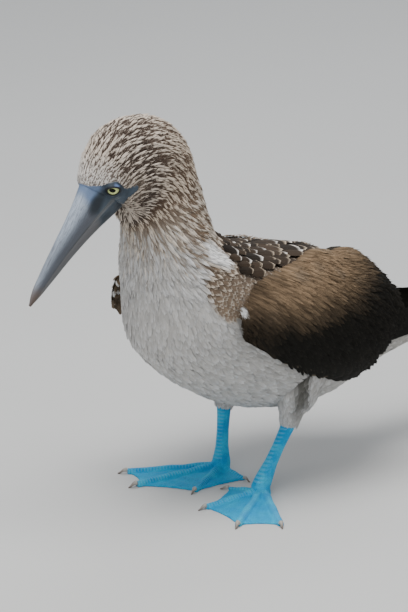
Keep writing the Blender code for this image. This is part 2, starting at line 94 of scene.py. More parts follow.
# The bill along its axis: share of its length, drop of ridge, mouth line and lower edge below the
# line from ridge root to tip, half width.
BILL_TIP = (-227.0, 198.5)
BILL_LINES = np.array((
    (0.00, 0.0, -24.0, -46.0, 14.0),
    (0.10, -0.8, -21.5, -40.5, 12.0),
    (0.25, -0.8, -17.0, -32.5, 9.7),
    (0.50, 0.8, -10.5, -21.5, 6.6),
    (0.75, 2.0, -5.5, -12.5, 4.3),
    (0.92, 1.6, -2.8, -6.0, 2.6),
    (1.00, -0.6, -1.8, -2.6, 0.9),
))

# Eyes: where the left one meets the skin, its ball, and the opening between the lids.
EYE_SURFACE = np.array((18.2, -154.5, 282.9))
EYE_RADIUS, EYE_DEPTH = 7.6, 4.95
LID_WIDE, LID_TALL, LID_THICKNESS = 4.9, 3.2, 0.75

# The mouth's line behind the bill, in the side view (y, z).
MOUTH_CORNER = np.array(((-158.0, 266.0), (-153.0, 271.0), (-150.2, 274.6), (-148.0, 278.0)))

# Rim of the bare face in the head's side view: distance along the bill's way from its root, and
# height above it.
FACE_RIM = np.array((
    (1.0, 4.0), (0.0, -1.3), (-0.2, -2.6), (-1.7, -3.8), (-3.6, -6.2), (-6.7, -8.8), (-9.4, -10.4),
    (-11.2, -12.0), (-12.2, -14.2), (-11.6, -17.8), (-9.9, -21.8), (-11.2, -24.2), (-13.6, -26.4),
    (-16.6, -29.4), (-16.2, -31.4), (-13.6, -31.9), (-11.0, -31.0), (-7.2, -30.6), (-4.0, -30.4),
    (-1.0, -32.0), (1.4, -35.7), (5.0, -40.0), (9.0, -45.0), (9.0, 4.0),
))

# Rims of the brown mantle and of the white patch on the hind neck, in the side view (y, z).
MANTLE_RIM = np.array((
    (-60, 250), (-66, 229), (-74, 217), (-82, 212), (-86, 205), (-87, 194), (-83.5, 185),
    (-78.6, 175), (-70, 169), (-61.5, 166), (-50, 170), (0, 172), (60, 150), (120, 120),
    (172, 108), (176, 240), (-40, 262),
), float)
NAPE_PATCH = np.array(((-80, 236), (-72, 232), (-64, 222), (-58, 214), (-61, 209), (-68, 210),
                       (-76, 216), (-83, 222), (-86, 229)), float)

# The folded wing's surface: y, centre height, half width, half height, the angles down from the
# back of its upper and lower edges, thickness.
WING_LINES = np.array((
    (-62, 149, 67.0, 68, 72, 88, 2.5),
    (-54, 148, 70.0, 69, 66, 91, 8.0),
    (-40, 146, 72.5, 70, 55, 97, 11.0),
    (-15, 143, 74.5, 71, 47, 108, 13.0),
    (15, 139, 75.5, 72, 40, 116, 13.0),
    (45, 136, 75.0, 68, 28, 126, 12.0),
    (75, 130, 71.5, 60, 20, 134, 10.0),
    (102, 129, 62.5, 55, 14, 112, 7.0),
    (128, 124, 49.5, 38, 18, 96, 5.0),
    (146, 118, 33.0, 26, 40, 92, 2.5),
), float)

# The folded wing's rim as y and angle, from its front down and aft to the top, and the point that
# its inner tiers of feathers close in on.
WING_RIM = np.array(
    ((-20, 103), (12, 114), (45, 125), (78, 135), (106, 115), (132, 96), (149, 68), (147, 44),
     (130, 24)), float)
RIM_CENTRE = np.array((-45.0, 74.0))

# The right wing is the left one's mirror image, moved out, forward and a little down.
RIGHT_WING_MOVE = np.array((-8.0, -15.0, -1.0))

# Height on the wing's side at which its brown turns to black, by y.
WING_BORDER = np.array(((-62, 163), (-40, 159), (-15, 157), (5, 157), (30, 160), (60, 164),
                        (84, 168), (104, 174), (125, 182), (150, 196)), float)

# Tiers of wing feathers: rim's scale, number, length, half width, lift of the tips.
WING_TIERS = (
    (1.00, 22, 50.0, 8.5, 0.5),
    (0.87, 24, 40.0, 7.0, 0.7),
)

# The long flight feathers' line: y, distance from the middle, height. Then how many there are, the
# longest one's tip, the step to the next tip, the rise from one to the next and their half width.
QUILL_PATH = np.array(((90, 53.0, 118.0), (120, 45.0, 117.0), (150, 36.0, 115.5),
                       (200, 28.0, 111.0), (260, 20.5, 106.5), (310, 15.5, 104.0),
                       (350, 11.5, 102.5)))
QUILLS, QUILL_TIP, QUILL_STEP, QUILL_RISE, QUILL_HALF_WIDE = 8, 346.0, 16.0, 1.6, 7.6

# The tail's bed: y, height, half width, half thickness. Then the pairs of long feathers, where they
# start and end, how much shorter each next pair is, and their height.
TAIL_LINES = np.array(((206, 96.5, 19.0, 9.0), (222, 95.0, 20.0, 6.0), (240, 93.0, 17.0, 3.0),
                       (256, 92.0, 10.0, 1.0)))
TAIL_BED_END = (262, 91.5, 4.0, 0.6)
TAIL_PAIRS, TAIL_ROOT, TAIL_TIP, TAIL_STEP, TAIL_HEIGHT = 6, 208.0, 366.0, 6.2, 95.5

# Legs: distance from the middle, ankle's y and z, y of the toes' root, turn of the foot outwards.
# Toes: angle from the middle one, length, width.
LEG_SPREAD = 34.0
ANKLE = {1: (21.0, 56.0), -1: (11.0, 58.0)}
TOE_ROOT = {1: -8.0, -1: 8.0}
FOOT_TURN = {1: 33.0, -1: 12.0}
TOES = {
    "hind": (-98.0, 30.0, 2.6),
    "inner": (-38.0, 58.0, 3.4),
    "middle": (0.0, 80.0, 3.9),
    "outer": (25.0, 78.0, 3.6),
}
CLAW_LENGTH = 7.5
WORDS = {1: "left", -1: "right"}

# Plumage colours, linear: the base and the edge of each kind of feather.
PLUMAGE = {
    "crown": ((0.052, 0.033, 0.023), (0.62, 0.535, 0.45)),
    "nape": ((0.115, 0.070, 0.040), (0.58, 0.475, 0.36)),
    "forehead": ((0.27, 0.22, 0.185), (0.86, 0.82, 0.78)),
    "cheek": ((0.20, 0.155, 0.115), (0.50, 0.425, 0.345)),
    "neck": ((0.19, 0.13, 0.08), (0.63, 0.57, 0.49)),
    "breast": ((0.47, 0.455, 0.435), (0.57, 0.565, 0.56)),
    "mantle": ((0.115, 0.080, 0.053), (0.60, 0.51, 0.41)),
    "breast_side": ((0.30, 0.22, 0.15), (0.66, 0.61, 0.55)),
    "nape_patch": ((0.84, 0.83, 0.81), (0.86, 0.85, 0.84)),
    # Painted shade, not a plumage colour: the dark band where the flank covers the back of the
    # thigh.
    "thigh_shade_band": ((0.075, 0.072, 0.062), (0.110, 0.106, 0.092)),
    "rump": ((0.46, 0.44, 0.41), (0.62, 0.60, 0.58)),
    "wing_black": ((0.0052, 0.0046, 0.0030), (0.0120, 0.0098, 0.0070)),
    "wing_spot": ((0.80, 0.80, 0.79), (0.86, 0.86, 0.85)),
    "bend_spots": ((0.78, 0.77, 0.75), (0.82, 0.81, 0.80)),
    "under_tail": ((0.46, 0.44, 0.41), (0.62, 0.60, 0.57)),
    "over_tail": ((0.20, 0.165, 0.13), (0.24, 0.20, 0.16)),
}
THROAT_BASE, DUSKY_BASE = (0.33, 0.28, 0.23), (0.30, 0.29, 0.28)
WING_LOW_BROWN, WING_HIGH_BROWN = (0.058, 0.041, 0.025), (0.196, 0.133, 0.080)
WING_GREY = (0.150, 0.126, 0.098)
WING_EDGE_GAIN = np.array((0.012, 0.009, 0.006))
PALE_RIM = (0.26, 0.22, 0.17)
BEND_DARK, BEND_LIGHT = (0.070, 0.052, 0.036), (0.170, 0.128, 0.088)
SCAPULAR_DARK, SCAPULAR_LIGHT = (0.014, 0.010, 0.007), (0.054, 0.036, 0.023)
SCAPULAR_WHITE, SCAPULAR_BUFF = (0.80, 0.75, 0.69), (0.55, 0.45, 0.34)
TAIL_OUTER, TAIL_MIDDLE, TAIL_EDGE = (0.075, 0.058, 0.045), (0.26, 0.23, 0.20), (0.42, 0.39, 0.35)
TAIL_BED_GREY = 0.4

# Colours of skin and horn, linear.
SLATE_DARK, SLATE_LIGHT = (0.025, 0.040, 0.057), (0.044, 0.066, 0.091)
SLATE_TOP, LORE_DARK = (0.140, 0.205, 0.335), (0.009, 0.014, 0.020)
GAPE_PALE, GAPE_SLIT = (0.16, 0.17, 0.175), (0.010, 0.012, 0.014)
# The brow colour on the next line is a painted highlight: the wet glint on the brow ridge above the
# eye.
LID_SHADE, BROW_HIGHLIGHT, LID_RIM = (0.012, 0.018, 0.028), (0.130, 0.190, 0.360), (0.006, 0.007, 0.009)
# The horn's root and tip colours are its ridge with painted light from above; its side colour is
# painted shade.
HORN_LIT_ROOT, HORN_LIT_TIP, HORN_SHADED_SIDE = (0.37, 0.43, 0.52), (0.235, 0.270, 0.325), (0.072, 0.080, 0.098)
HORN_STREAK, HORN_LINE = (0.080, 0.087, 0.104), (0.062, 0.067, 0.082)
HORN_LOWER, HORN_BROWN = (0.115, 0.115, 0.122), (0.115, 0.078, 0.058)
SEAM_DARK, SEAM_PALE = (0.020, 0.023, 0.026), (0.160, 0.162, 0.162)
IRIS_INNER, IRIS_OUTER, IRIS_RING = (0.70, 0.76, 0.33), (0.52, 0.61, 0.25), (0.20, 0.22, 0.06)
PUPIL, EYE_SURROUND = (0.003, 0.003, 0.003), (0.012, 0.012, 0.010)
FOOT_DEEP, FOOT_BRIGHT, WEB_BLUE = (0.0, 0.40, 0.84), (0.020, 0.64, 0.97), (0.0, 0.54, 1.0)
# The first colour on the next line is painted shade in the webs' folds.
WEB_FOLD_SHADE, FOOT_CRACK, SCUTE_PALE = (0.0, 0.22, 0.58), (0.015, 0.16, 0.30), (0.24, 0.62, 0.78)
CLAW_ROOT, CLAW_TIP = (0.42, 0.40, 0.36), (0.16, 0.13, 0.11)

# How many places are tried for the feathers of each part, before they are thinned out.
BODY_TRIES, THIGH_TRIES, WING_TRIES, BEND_TRIES, TAIL_TRIES = 300000, 16000, 60000, 9000, 16000

FAR = 1e9
NO_LID = 9.0


# Numbers and shapes


def follow(knots, rows, at):
    """Rows at places between knots, on a smooth curve through all rows."""
    at = np.asarray(at, float)
    slopes = np.gradient(rows, knots, axis=0)
    i = np.clip(np.searchsorted(knots, at) - 1, 0, len(knots) - 2)
    span = (knots[i + 1] - knots[i])[..., None]
    t = np.clip((at - knots[i])[..., None] / span, 0.0, 1.0)
    return (
        (2 * t**3 - 3 * t**2 + 1) * rows[i]
        + (t**3 - 2 * t**2 + t) * span * slopes[i]
        + (3 * t**2 - 2 * t**3) * rows[i + 1]
        + (t**3 - t**2) * span * slopes[i + 1]
    )


def unit(vectors):
    vectors = np.asarray(vectors, float)
    return vectors / np.maximum(np.linalg.norm(vectors, axis=-1, keepdims=True), 1e-12)


def ramp(low, high, x):
    """0 below low, 1 above high, a smooth rise between."""
    t = np.clip((np.asarray(x, float) - low) / (high - low), 0.0, 1.0)
    return t * t * (3 - 2 * t)


def mix(share, a, b):
    """From a to b by shares from 0 to 1."""
    return a * (1 - share) + b * share


def blend(share, a, b):
    """Colours from a to b by one share a row."""
    return mix(np.asarray(share, float)[..., None], np.asarray(a, float), np.asarray(b, float))


def round_turns(count):
    return np.linspace(0, 2 * math.pi, count + 1)[:-1]


def from_back(turn):
    """Degrees between a turn round the body and the middle of the back."""
    return np.degrees(np.minimum(turn, 2 * math.pi - turn))


def laid(way, out):
    """Ways turned to lie square to the outward directions."""
    return unit(way - out * np.sum(way * out, axis=1, keepdims=True))


def tree_of(points):
    tree = KDTree(len(points))
    for index, point in enumerate(points):
        tree.insert(Vector(point), index)
    tree.balance()
    return tree


def chosen(arrays, index):
    return {key: values[index] for key, values in arrays.items()}


def ripple(points, scale, seed):
    """Smooth irregular values about 0, between -1 and 1, from a few crossing waves."""
    rng = np.random.default_rng(seed)
    total = np.zeros(len(points))
    for _ in range(7):
        way = unit(rng.normal(size=3)) * rng.uniform(0.6, 1.5) * 2 * math.pi / scale
        total += np.sin(np.asarray(points) @ way + rng.uniform(0, 2 * math.pi))
    return total / 4.5


# The eye ball's middle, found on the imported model, places the stance in the model's frame.


def head_axes():
    root = np.array((0.0, *BODY_LINES[0, 0:2]))
    along = unit(np.array((0.0, *BILL_TIP)) - root)
    return root, along, np.array((0.0, along[2], -along[1]))


def eye_look(side):
    _, along, up = head_axes()
    return unit(np.array((side, 0.0, 0.0)) + 0.55 * along + 0.16 * up)


def eye_centre(side):
    return EYE_SURFACE * (side, 1, 1) - eye_look(side) * EYE_DEPTH


low, high = (np.array(c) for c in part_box("eye_left"))
SHIFT = (low + high) / 2 - eye_centre(1) * MM


def in_model(points):
    return np.asarray(points, float) * MM + SHIFT


def in_stance(points):
    return (np.asarray(points, float) - SHIFT) / MM


def add_object(name, data):
    made = bpy.data.objects.new(name, data)
    bpy.context.scene.collection.objects.link(made)
    return made


def make_mesh(name, points, faces, finish):
    """A piece from points in stance millimetres."""
    mesh = bpy.data.meshes.new(name)
    mesh.from_pydata(in_model(points).tolist(), [], [tuple(int(i) for i in f) for f in faces])
    mesh.shade_smooth()
    if finish:
        mesh.materials.append(finish)
    return add_object(name, mesh)


def turn_outwards(piece):
    shape = bmesh.new()
    shape.from_mesh(piece.data)
    bmesh.ops.recalc_face_normals(shape, faces=shape.faces)
    if shape.calc_volume(signed=True) < 0:
        bmesh.ops.reverse_faces(shape, faces=shape.faces)
    shape.to_mesh(piece.data)
    shape.free()


def store(piece, name, values, kind="FLOAT"):
    """Keeps one value a point on a piece, for its material."""
    values = np.asarray(values, np.float32)
    attribute = piece.data.attributes.new(name, kind, "POINT")
    attribute.data.foreach_set("value" if kind == "FLOAT" else "vector", values.ravel())


def corners(piece):
    """A piece's points in stance millimetres."""
    flat = np.empty(len(piece.data.vertices) * 3)
    piece.data.vertices.foreach_get("co", flat)
    return in_stance(flat.reshape(-1, 3))


def set_corners(piece, points):
    piece.data.vertices.foreach_set("co", in_model(points).ravel())
    piece.data.update()


def out_ways(piece):
    flat = np.empty(len(piece.data.vertices) * 3)
    piece.data.vertices.foreach_get("normal", flat)
    return flat.reshape(-1, 3)


def loft(name, rings, finish=None):
    """A closed piece through rings of equally many points."""
    rings = np.asarray(rings, float)
    count, around = rings.shape[:2]
    faces = []
    for row in range(count - 1):
        start = row * around
        for k in range(around):
            after = (k + 1) % around
            faces.append((start + k, start + after, start + around + after, start + around + k))
    points = rings.reshape(-1, 3)
    for ring, first in ((rings[0], 0), (rings[-1], (count - 1) * around)):
        points = np.vstack((points, ring.mean(0)))
        faces += [(first + k, first + (k + 1) % around, len(points) - 1) for k in range(around)]
    piece = make_mesh(name, points, faces, finish)
    turn_outwards(piece)
    return piece


def union(piece, *others):
    for other in others:
        modifier = piece.modifiers.new("join", "BOOLEAN")
        modifier.operation = "UNION"
        modifier.solver = "MANIFOLD"
        modifier.object = other
        graph = bpy.context.evaluated_depsgraph_get()
        made = bpy.data.meshes.new_from_object(piece.evaluated_get(graph))
        piece.modifiers.remove(modifier)
        piece.data = made
        bpy.data.objects.remove(other)
    piece.data.shade_smooth()


def apply_modifiers(piece):
    graph = bpy.context.evaluated_depsgraph_get()
    made = bpy.data.meshes.new_from_object(piece.evaluated_get(graph))
    piece.modifiers.clear()
    piece.data = made


# Materials


def add_node(tree, kind, settings, inputs):
    """A node with its settings, and the values or links of its inputs, by number or by name."""
    node = tree.nodes.new(kind)
    for key, value in (settings or {}).items():
        setattr(node, key, value)
    for key, value in inputs.items() if isinstance(inputs, dict) else enumerate(inputs):
        value = value.socket if isinstance(value, Value) else value
        if isinstance(value, bpy.types.NodeSocket):
            tree.links.new(value, node.inputs[key])
        else:
            node.inputs[key].default_value = value
    return node


class Value:
    """A number that varies over a surface. Operators on it add Math nodes."""

    def __init__(self, paint, socket):
        self.paint, self.socket = paint, socket

    def maths(self, operation, *inputs):
        node = self.paint.node("ShaderNodeMath", {"operation": operation}, inputs)
        return Value(self.paint, node.outputs[0])

    def __add__(self, other):
        return self.maths("ADD", self, other)

    def __radd__(self, other):
        return self.maths("ADD", other, self)

    def __sub__(self, other):
        return self.maths("SUBTRACT", self, other)

    def __rsub__(self, other):
        return self.maths("SUBTRACT", other, self)

    def __mul__(self, other):
        return self.maths("MULTIPLY", self, other)

    def __rmul__(self, other):
        return self.maths("MULTIPLY", other, self)

    def __pow__(self, power):
        return self.maths("POWER", self, power)

    def __abs__(self):
        return self.maths("ABSOLUTE", self)

    def sine(self):
        return self.maths("SINE", self)

    def most(self, other):
        return self.maths("MAXIMUM", self, other)

    def ramp(self, low, high):
        """0 below low, 1 above high, a smooth rise between."""
        settings = {"interpolation_type": "SMOOTHSTEP"}
        node = self.paint.node("ShaderNodeMapRange", settings, (self, low, high, 0.0, 1.0))
        return Value(self.paint, node.outputs[0])


class Paint:
    """A material under way."""

    def __init__(self, name):
        self.material = bpy.data.materials.new(name)
        self.material.use_nodes = True
        self.tree = self.material.node_tree
        self.shader = self.tree.nodes["Principled BSDF"]

    def node(self, kind, settings=None, inputs=()):
        return add_node(self.tree, kind, settings, inputs)

    def number(self, name):
        node = self.node("ShaderNodeAttribute", {"attribute_name": name})
        return Value(self, node.outputs["Fac"])

    def colour(self, name):
        return self.node("ShaderNodeAttribute", {"attribute_name": name}).outputs["Color"]

    def parts(self, name):
        """The three numbers of a stored vector."""
        vector = self.node("ShaderNodeAttribute", {"attribute_name": name}).outputs["Vector"]
        split = self.node("ShaderNodeSeparateXYZ", {}, (vector,))
        return [Value(self, out) for out in split.outputs]

    def place(self):
        return self.node("ShaderNodeTexCoord").outputs["Object"]

    def joined(self, *numbers):
        """A vector from three numbers."""
        return self.node("ShaderNodeCombineXYZ", {}, numbers).outputs[0]

    def noise(self, scale, detail=2.0, rough=0.5, where=None):
        inputs = {"Scale": scale, "Detail": detail, "Roughness": rough,
                  "Vector": where or self.place()}
        return Value(self, self.node("ShaderNodeTexNoise", {}, inputs).outputs["Fac"])

    def cells(self, scale, feature="F1"):
        inputs = {"Scale": scale, "Vector": self.place()}
        node = self.node("ShaderNodeTexVoronoi", {"feature": feature}, inputs)
        return Value(self, node.outputs["Distance"])

    def mix(self, share, a, b):
        a, b = (c if isinstance(c, bpy.types.NodeSocket) else (*c, 1.0) for c in (a, b))
        node = self.node("ShaderNodeMix", {"data_type": "RGBA"}, {0: share, 6: a, 7: b})
        return node.outputs[2]

    def scaled(self, colour, factor):
        """A colour made lighter or darker by a number."""
        node = self.node("ShaderNodeVectorMath", {"operation": "SCALE"}, {0: colour, 3: factor})
        return node.outputs[0]

    def bump(self, height, depth_mm):
        inputs = {"Strength": 1.0, "Distance": depth_mm * MM, "Height": height}
        return self.node("ShaderNodeBump", {}, inputs).outputs["Normal"]

    def finish(self, base, roughness, normal=None, **constants):
        for key, value in (("Base Color", base), ("Roughness", roughness), ("Normal", normal)):
            if isinstance(value, Value):
                value = value.socket
            if isinstance(value, bpy.types.NodeSocket):
                self.tree.links.new(value, self.shader.inputs[key])
            elif value is not None:
                value = (*value, 1.0) if key == "Base Color" else value
                self.shader.inputs[key].default_value = value
        for key, value in constants.items():
            self.shader.inputs[key.replace("_", " ")].default_value = value
        return self.material


def feather_paint(name, barbs, shaft=0.25, rough=0.78, sheen=0.1, soft=0.16, hem=0.16,
                  root=0.72, gloss=0.2):
    """Vanes: base colour and fringe, shaft, slanting barbs and painted shade towards the root."""
    paint = Paint(name)
    along, across = paint.number("along"), paint.number("across")
    tone, fringe = paint.number("tone"), paint.number("fringe")
    reach = along + abs(across) ** 2.0 * hem
    edge = (reach - (1.0 - fringe)).ramp(-soft, soft)
    slant = (along - abs(across) * 0.35) * barbs + tone * 3.0
    lines = (slant * (2 * math.pi)).sine()
    middle = 1.0 - abs(across).ramp(0.03, 0.16)
    colour = paint.mix(edge, paint.colour("base"), paint.colour("edge"))
    # Painted shade: each vane darkens towards its root, under the feathers that overlap it.
    light = root + along.ramp(0.0, 0.55) * (1.0 - root)
    light = light * (0.86 + tone * 0.28) * (1.0 + lines * 0.06)
    colour = paint.scaled(colour, light * (1.0 - middle * shaft * (1.0 - along)))
    normal = paint.bump(lines * 0.5 + middle * 1.5, 0.06)
    return paint.finish(colour, rough, normal, Sheen_Weight=sheen, Sheen_Roughness=0.6,
                        Specular_IOR_Level=gloss)


# Vanes that the coat repeats


def vane_faces(rows, columns, start=0):
    """Faces of a closed vane: its back, its flat underside and its two ends."""
    wide = columns + 1
    last = start + (rows - 1) * wide
    faces = []
    for a in range(start, last, wide):
        faces += [(a + k, a + k + 1, a + wide + k + 1, a + wide + k) for k in range(columns)]
        faces.append((a, a + wide, a + wide + columns, a + columns))
    faces.append(tuple(range(start + columns, start - 1, -1)))
    faces.append(tuple(range(last, last + wide)))
    return faces


def small_vane(name, outline, camber, bend, columns=2):
    """One feather a unit long and wide, on its own root, arched across and bent along."""
    points, along, across = [], [], []
    for t, half in outline:
        for s in np.linspace(-1, 1, columns + 1):
            drawn_in = 0.10 * s * s * t**4
            height = camber * half * (1 - s * s) - bend * t * t
            points.append((0.5 * half * s, t - drawn_in, height))
            along.append(t)
            across.append(s)
    mesh = bpy.data.meshes.new(name)
    mesh.from_pydata(points, [], vane_faces(len(outline), columns))
    mesh.shade_smooth()
    mesh.set_sharp_from_angle(angle=math.radians(50))
    vane = bpy.data.objects.new(name, mesh)
    store(vane, "along", along)
    store(vane, "across", across)
    return vane


class Tree:
    """A Geometry Nodes tree under way."""

    def __init__(self, name):
        self.group = bpy.data.node_groups.new(name, "GeometryNodeTree")
        self.sockets = {}
        self.group.interface.new_socket("Geometry", in_out="OUTPUT",
                                        socket_type="NodeSocketGeometry")

    def input(self, name, kind):
        item = self.group.interface.new_socket(name, in_out="INPUT", socket_type=kind)
        self.sockets[name] = item.identifier

    def node(self, kind, settings=None, inputs=()):
        return add_node(self.group, kind, settings, inputs)

    def named(self, name, kind):
        node = self.node("GeometryNodeInputNamedAttribute", {"data_type": kind}, {"Name": name})
        return node.outputs["Attribute"]

    def vector(self, operation, *inputs):
        return self.node("ShaderNodeVectorMath", {"operation": operation}, inputs).outputs[0]


def coat_tree():
    """Puts a vane on every root, along its way, and gives each its own patch of the bake map."""
    tree = Tree("coat")
    tree.input("Geometry", "NodeSocketGeometry")
    tree.input("Vane", "NodeSocketObject")
    tree.input("Patch", "NodeSocketFloat")
    tree.input("Finish", "NodeSocketMaterial")
    entry = tree.node("NodeGroupInput")
    vane = tree.node("GeometryNodeObjectInfo", {}, {"Object": entry.outputs["Vane"]})
    turn = tree.node(
        "FunctionNodeAxesToRotation", {"primary_axis": "Y", "secondary_axis": "Z"},
        {"Primary Axis": tree.named("way", "FLOAT_VECTOR"),
         "Secondary Axis": tree.named("out", "FLOAT_VECTOR")})
    placed = tree.node(
        "GeometryNodeInstanceOnPoints", {},
        {"Points": entry.outputs["Geometry"], "Instance": vane.outputs["Geometry"],
         "Rotation": turn.outputs[0], "Scale": tree.named("size", "FLOAT_VECTOR")})
    real = tree.node("GeometryNodeRealizeInstances", {}, (placed.outputs[0],))
    across, along = tree.named("across", "FLOAT"), tree.named("along", "FLOAT")
    own = tree.node("ShaderNodeCombineXYZ", {}, (across, along))
    own = tree.vector("MULTIPLY", own.outputs[0], (0.5, 1.0, 0.0))
    own = tree.vector("SUBTRACT", own, (0.0, 0.5, 0.0))
    patch = tree.node("ShaderNodeVectorMath", {"operation": "SCALE"},
                      {"Vector": own, "Scale": entry.outputs["Patch"]}).outputs[0]
    patch = tree.vector("ADD", patch, tree.named("root_map", "FLOAT_VECTOR"))
    mapped = tree.node(
        "GeometryNodeStoreNamedAttribute", {"data_type": "FLOAT2", "domain": "CORNER"},
        {"Geometry": real.outputs[0], "Name": "OFBake", "Value": patch})
    done = tree.node("GeometryNodeSetMaterial", {},
                     {"Geometry": mapped.outputs[0], "Material": entry.outputs["Finish"]})
    tree.node("NodeGroupOutput", {}, (done.outputs[0],))
    return tree


COAT = coat_tree()
BAKE_PATCH, BAKE_MARGIN = 0.003, 0.01


def bake_place(u, v):
    """Middles of the feathers' patches on the bake map, for u and v from 0 to 1."""
    share = 1 - 2 * BAKE_MARGIN
    return np.stack((BAKE_MARGIN + share * u, BAKE_MARGIN + share * v, v * 0), axis=1)


def grow_coat(name, roots, vane, finish):
    """A piece of coat: a vane on every root. Roots hold arrays, one row for each feather."""
    mesh = bpy.data.meshes.new(name)
    mesh.from_pydata(in_model(roots["at"]).tolist(), [], [])
    piece = add_object(name, mesh)
    for key in ("way", "out", "size", "base", "edge", "root_map"):
        scale = MM if key == "size" else 1.0
        store(piece, key, np.asarray(roots[key]) * scale, "FLOAT_VECTOR")
    for key in ("tone", "fringe"):
        store(piece, key, roots[key])
    modifier = piece.modifiers.new("coat", "NODES")
    modifier.node_group = COAT.group
    modifier[COAT.sockets["Vane"]] = vane
    modifier[COAT.sockets["Patch"]] = BAKE_PATCH
    modifier[COAT.sockets["Finish"]] = finish
    apply_modifiers(piece)
    piece.data.name = name
    for key in ("way", "out", "size", "root_map"):
        if key in piece.data.attributes:
            piece.data.attributes.remove(piece.data.attributes[key])
    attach(piece, "root")
    return piece


# Body grid: points round the body at every place along it


def body_grid(places, turns):
    """Points and outward directions on the body at places along it and turns round it."""
    rows = follow(np.arange(len(BODY_LINES), dtype=float), BODY_LINES, places)
    top, bottom, wide, wide_at = rows[:, 0:2], rows[:, 2:4], rows[:, 4], rows[:, 5]
    middle = bottom + (top - bottom) * wide_at[:, None]
    reach = np.cos(turns)[None, :, None]
    rise = np.where(reach > 0, (top - middle)[:, None] * reach, (middle - bottom)[:, None] * reach)
    side = wide[:, None] * np.sin(turns)[None, :]
    return np.concatenate((side[..., None], middle[:, None] + rise), axis=2)


def grid_ways(grid):
    """Outward direction and way along the rows, at every point of a grid."""
    down = np.gradient(grid, axis=0)
    around = np.gradient(np.concatenate((grid[:, -3:], grid, grid[:, :3]), axis=1), axis=1)[:, 3:-3]
    out = unit(np.cross(around, down))
    middle = grid.mean(axis=1, keepdims=True)
    if np.sum((grid - middle) * out) < 0:
        out = -out
    return out, unit(down)


PLACES = np.concatenate((np.linspace(0, 3, 64)[:-1], np.linspace(3, 7, 44)[:-1],
                         np.linspace(7, BODY_END, 66)))
TURNS = round_turns(128)
BODY = body_grid(PLACES, TURNS)
BODY_OUT, _ = grid_ways(BODY)


def head_view(points):
    """Distance along the bill's way from its root, and height above it, in the side view."""
    root, along, up = head_axes()
    return (points - root) @ along, (points - root) @ up


def inside_rim(a, b, rim):
    """How far flat points lie inside a closed rim (negative outside)."""
    best = np.full(len(a), FAR)
    inside = np.zeros(len(a), bool)
    for (a0, b0), (a1, b1) in zip(rim, np.roll(rim, -1, axis=0)):
        da, db = a1 - a0, b1 - b0
        t = np.clip(((a - a0) * da + (b - b0) * db) / (da * da + db * db), 0, 1)
        best = np.minimum(best, np.hypot(a - a0 - t * da, b - b0 - t * db))
        crosses = (b0 > b) != (b1 > b)
        at = a0 + (b - b0) * da / (db if abs(db) > 1e-9 else 1e-9)
        inside ^= crosses & (a < at)
    return np.where(inside, best, -best)


def rim_distance(points):
    return inside_rim(*head_view(points), FACE_RIM)


def on_head(points):
    return (points[:, 2] > 250) & (points[:, 1] < -125)


def bare_share(points):
    return np.where(on_head(points), ramp(-1.6, -0.6, rim_distance(points)), 0.0)


def from_forehead(points):
    """Distance from the middle of the forehead's foot, in the side view."""
    f, u = head_view(points)
    return np.hypot(f, u + 6.0)


def place_of(points):
    """Place along the body and turn round it of the grid point nearest to each point."""
    step = 2
    coarse = BODY[::step, ::step]
    tree = tree_of(coarse.reshape(-1, 3))
    found = np.array([tree.find(Vector(p))[1] for p in points])
    return PLACES[::step][found // coarse.shape[1]], TURNS[::step][found % coarse.shape[1]]


# Markings: what the plumage is at a point of the body


def plumage(kind, **more):
    base, edge = PLUMAGE[kind]
    return {"base": base, "edge": edge, **more}


def dye(marks, kind, share, edge_share=None):
    """Turns feathers' base and edge colours towards a kind's, by shares."""
    base, edge = PLUMAGE[kind]
    marks["base"] = blend(share, marks["base"], base)
    marks["edge"] = blend(share if edge_share is None else edge_share, marks["edge"], edge)


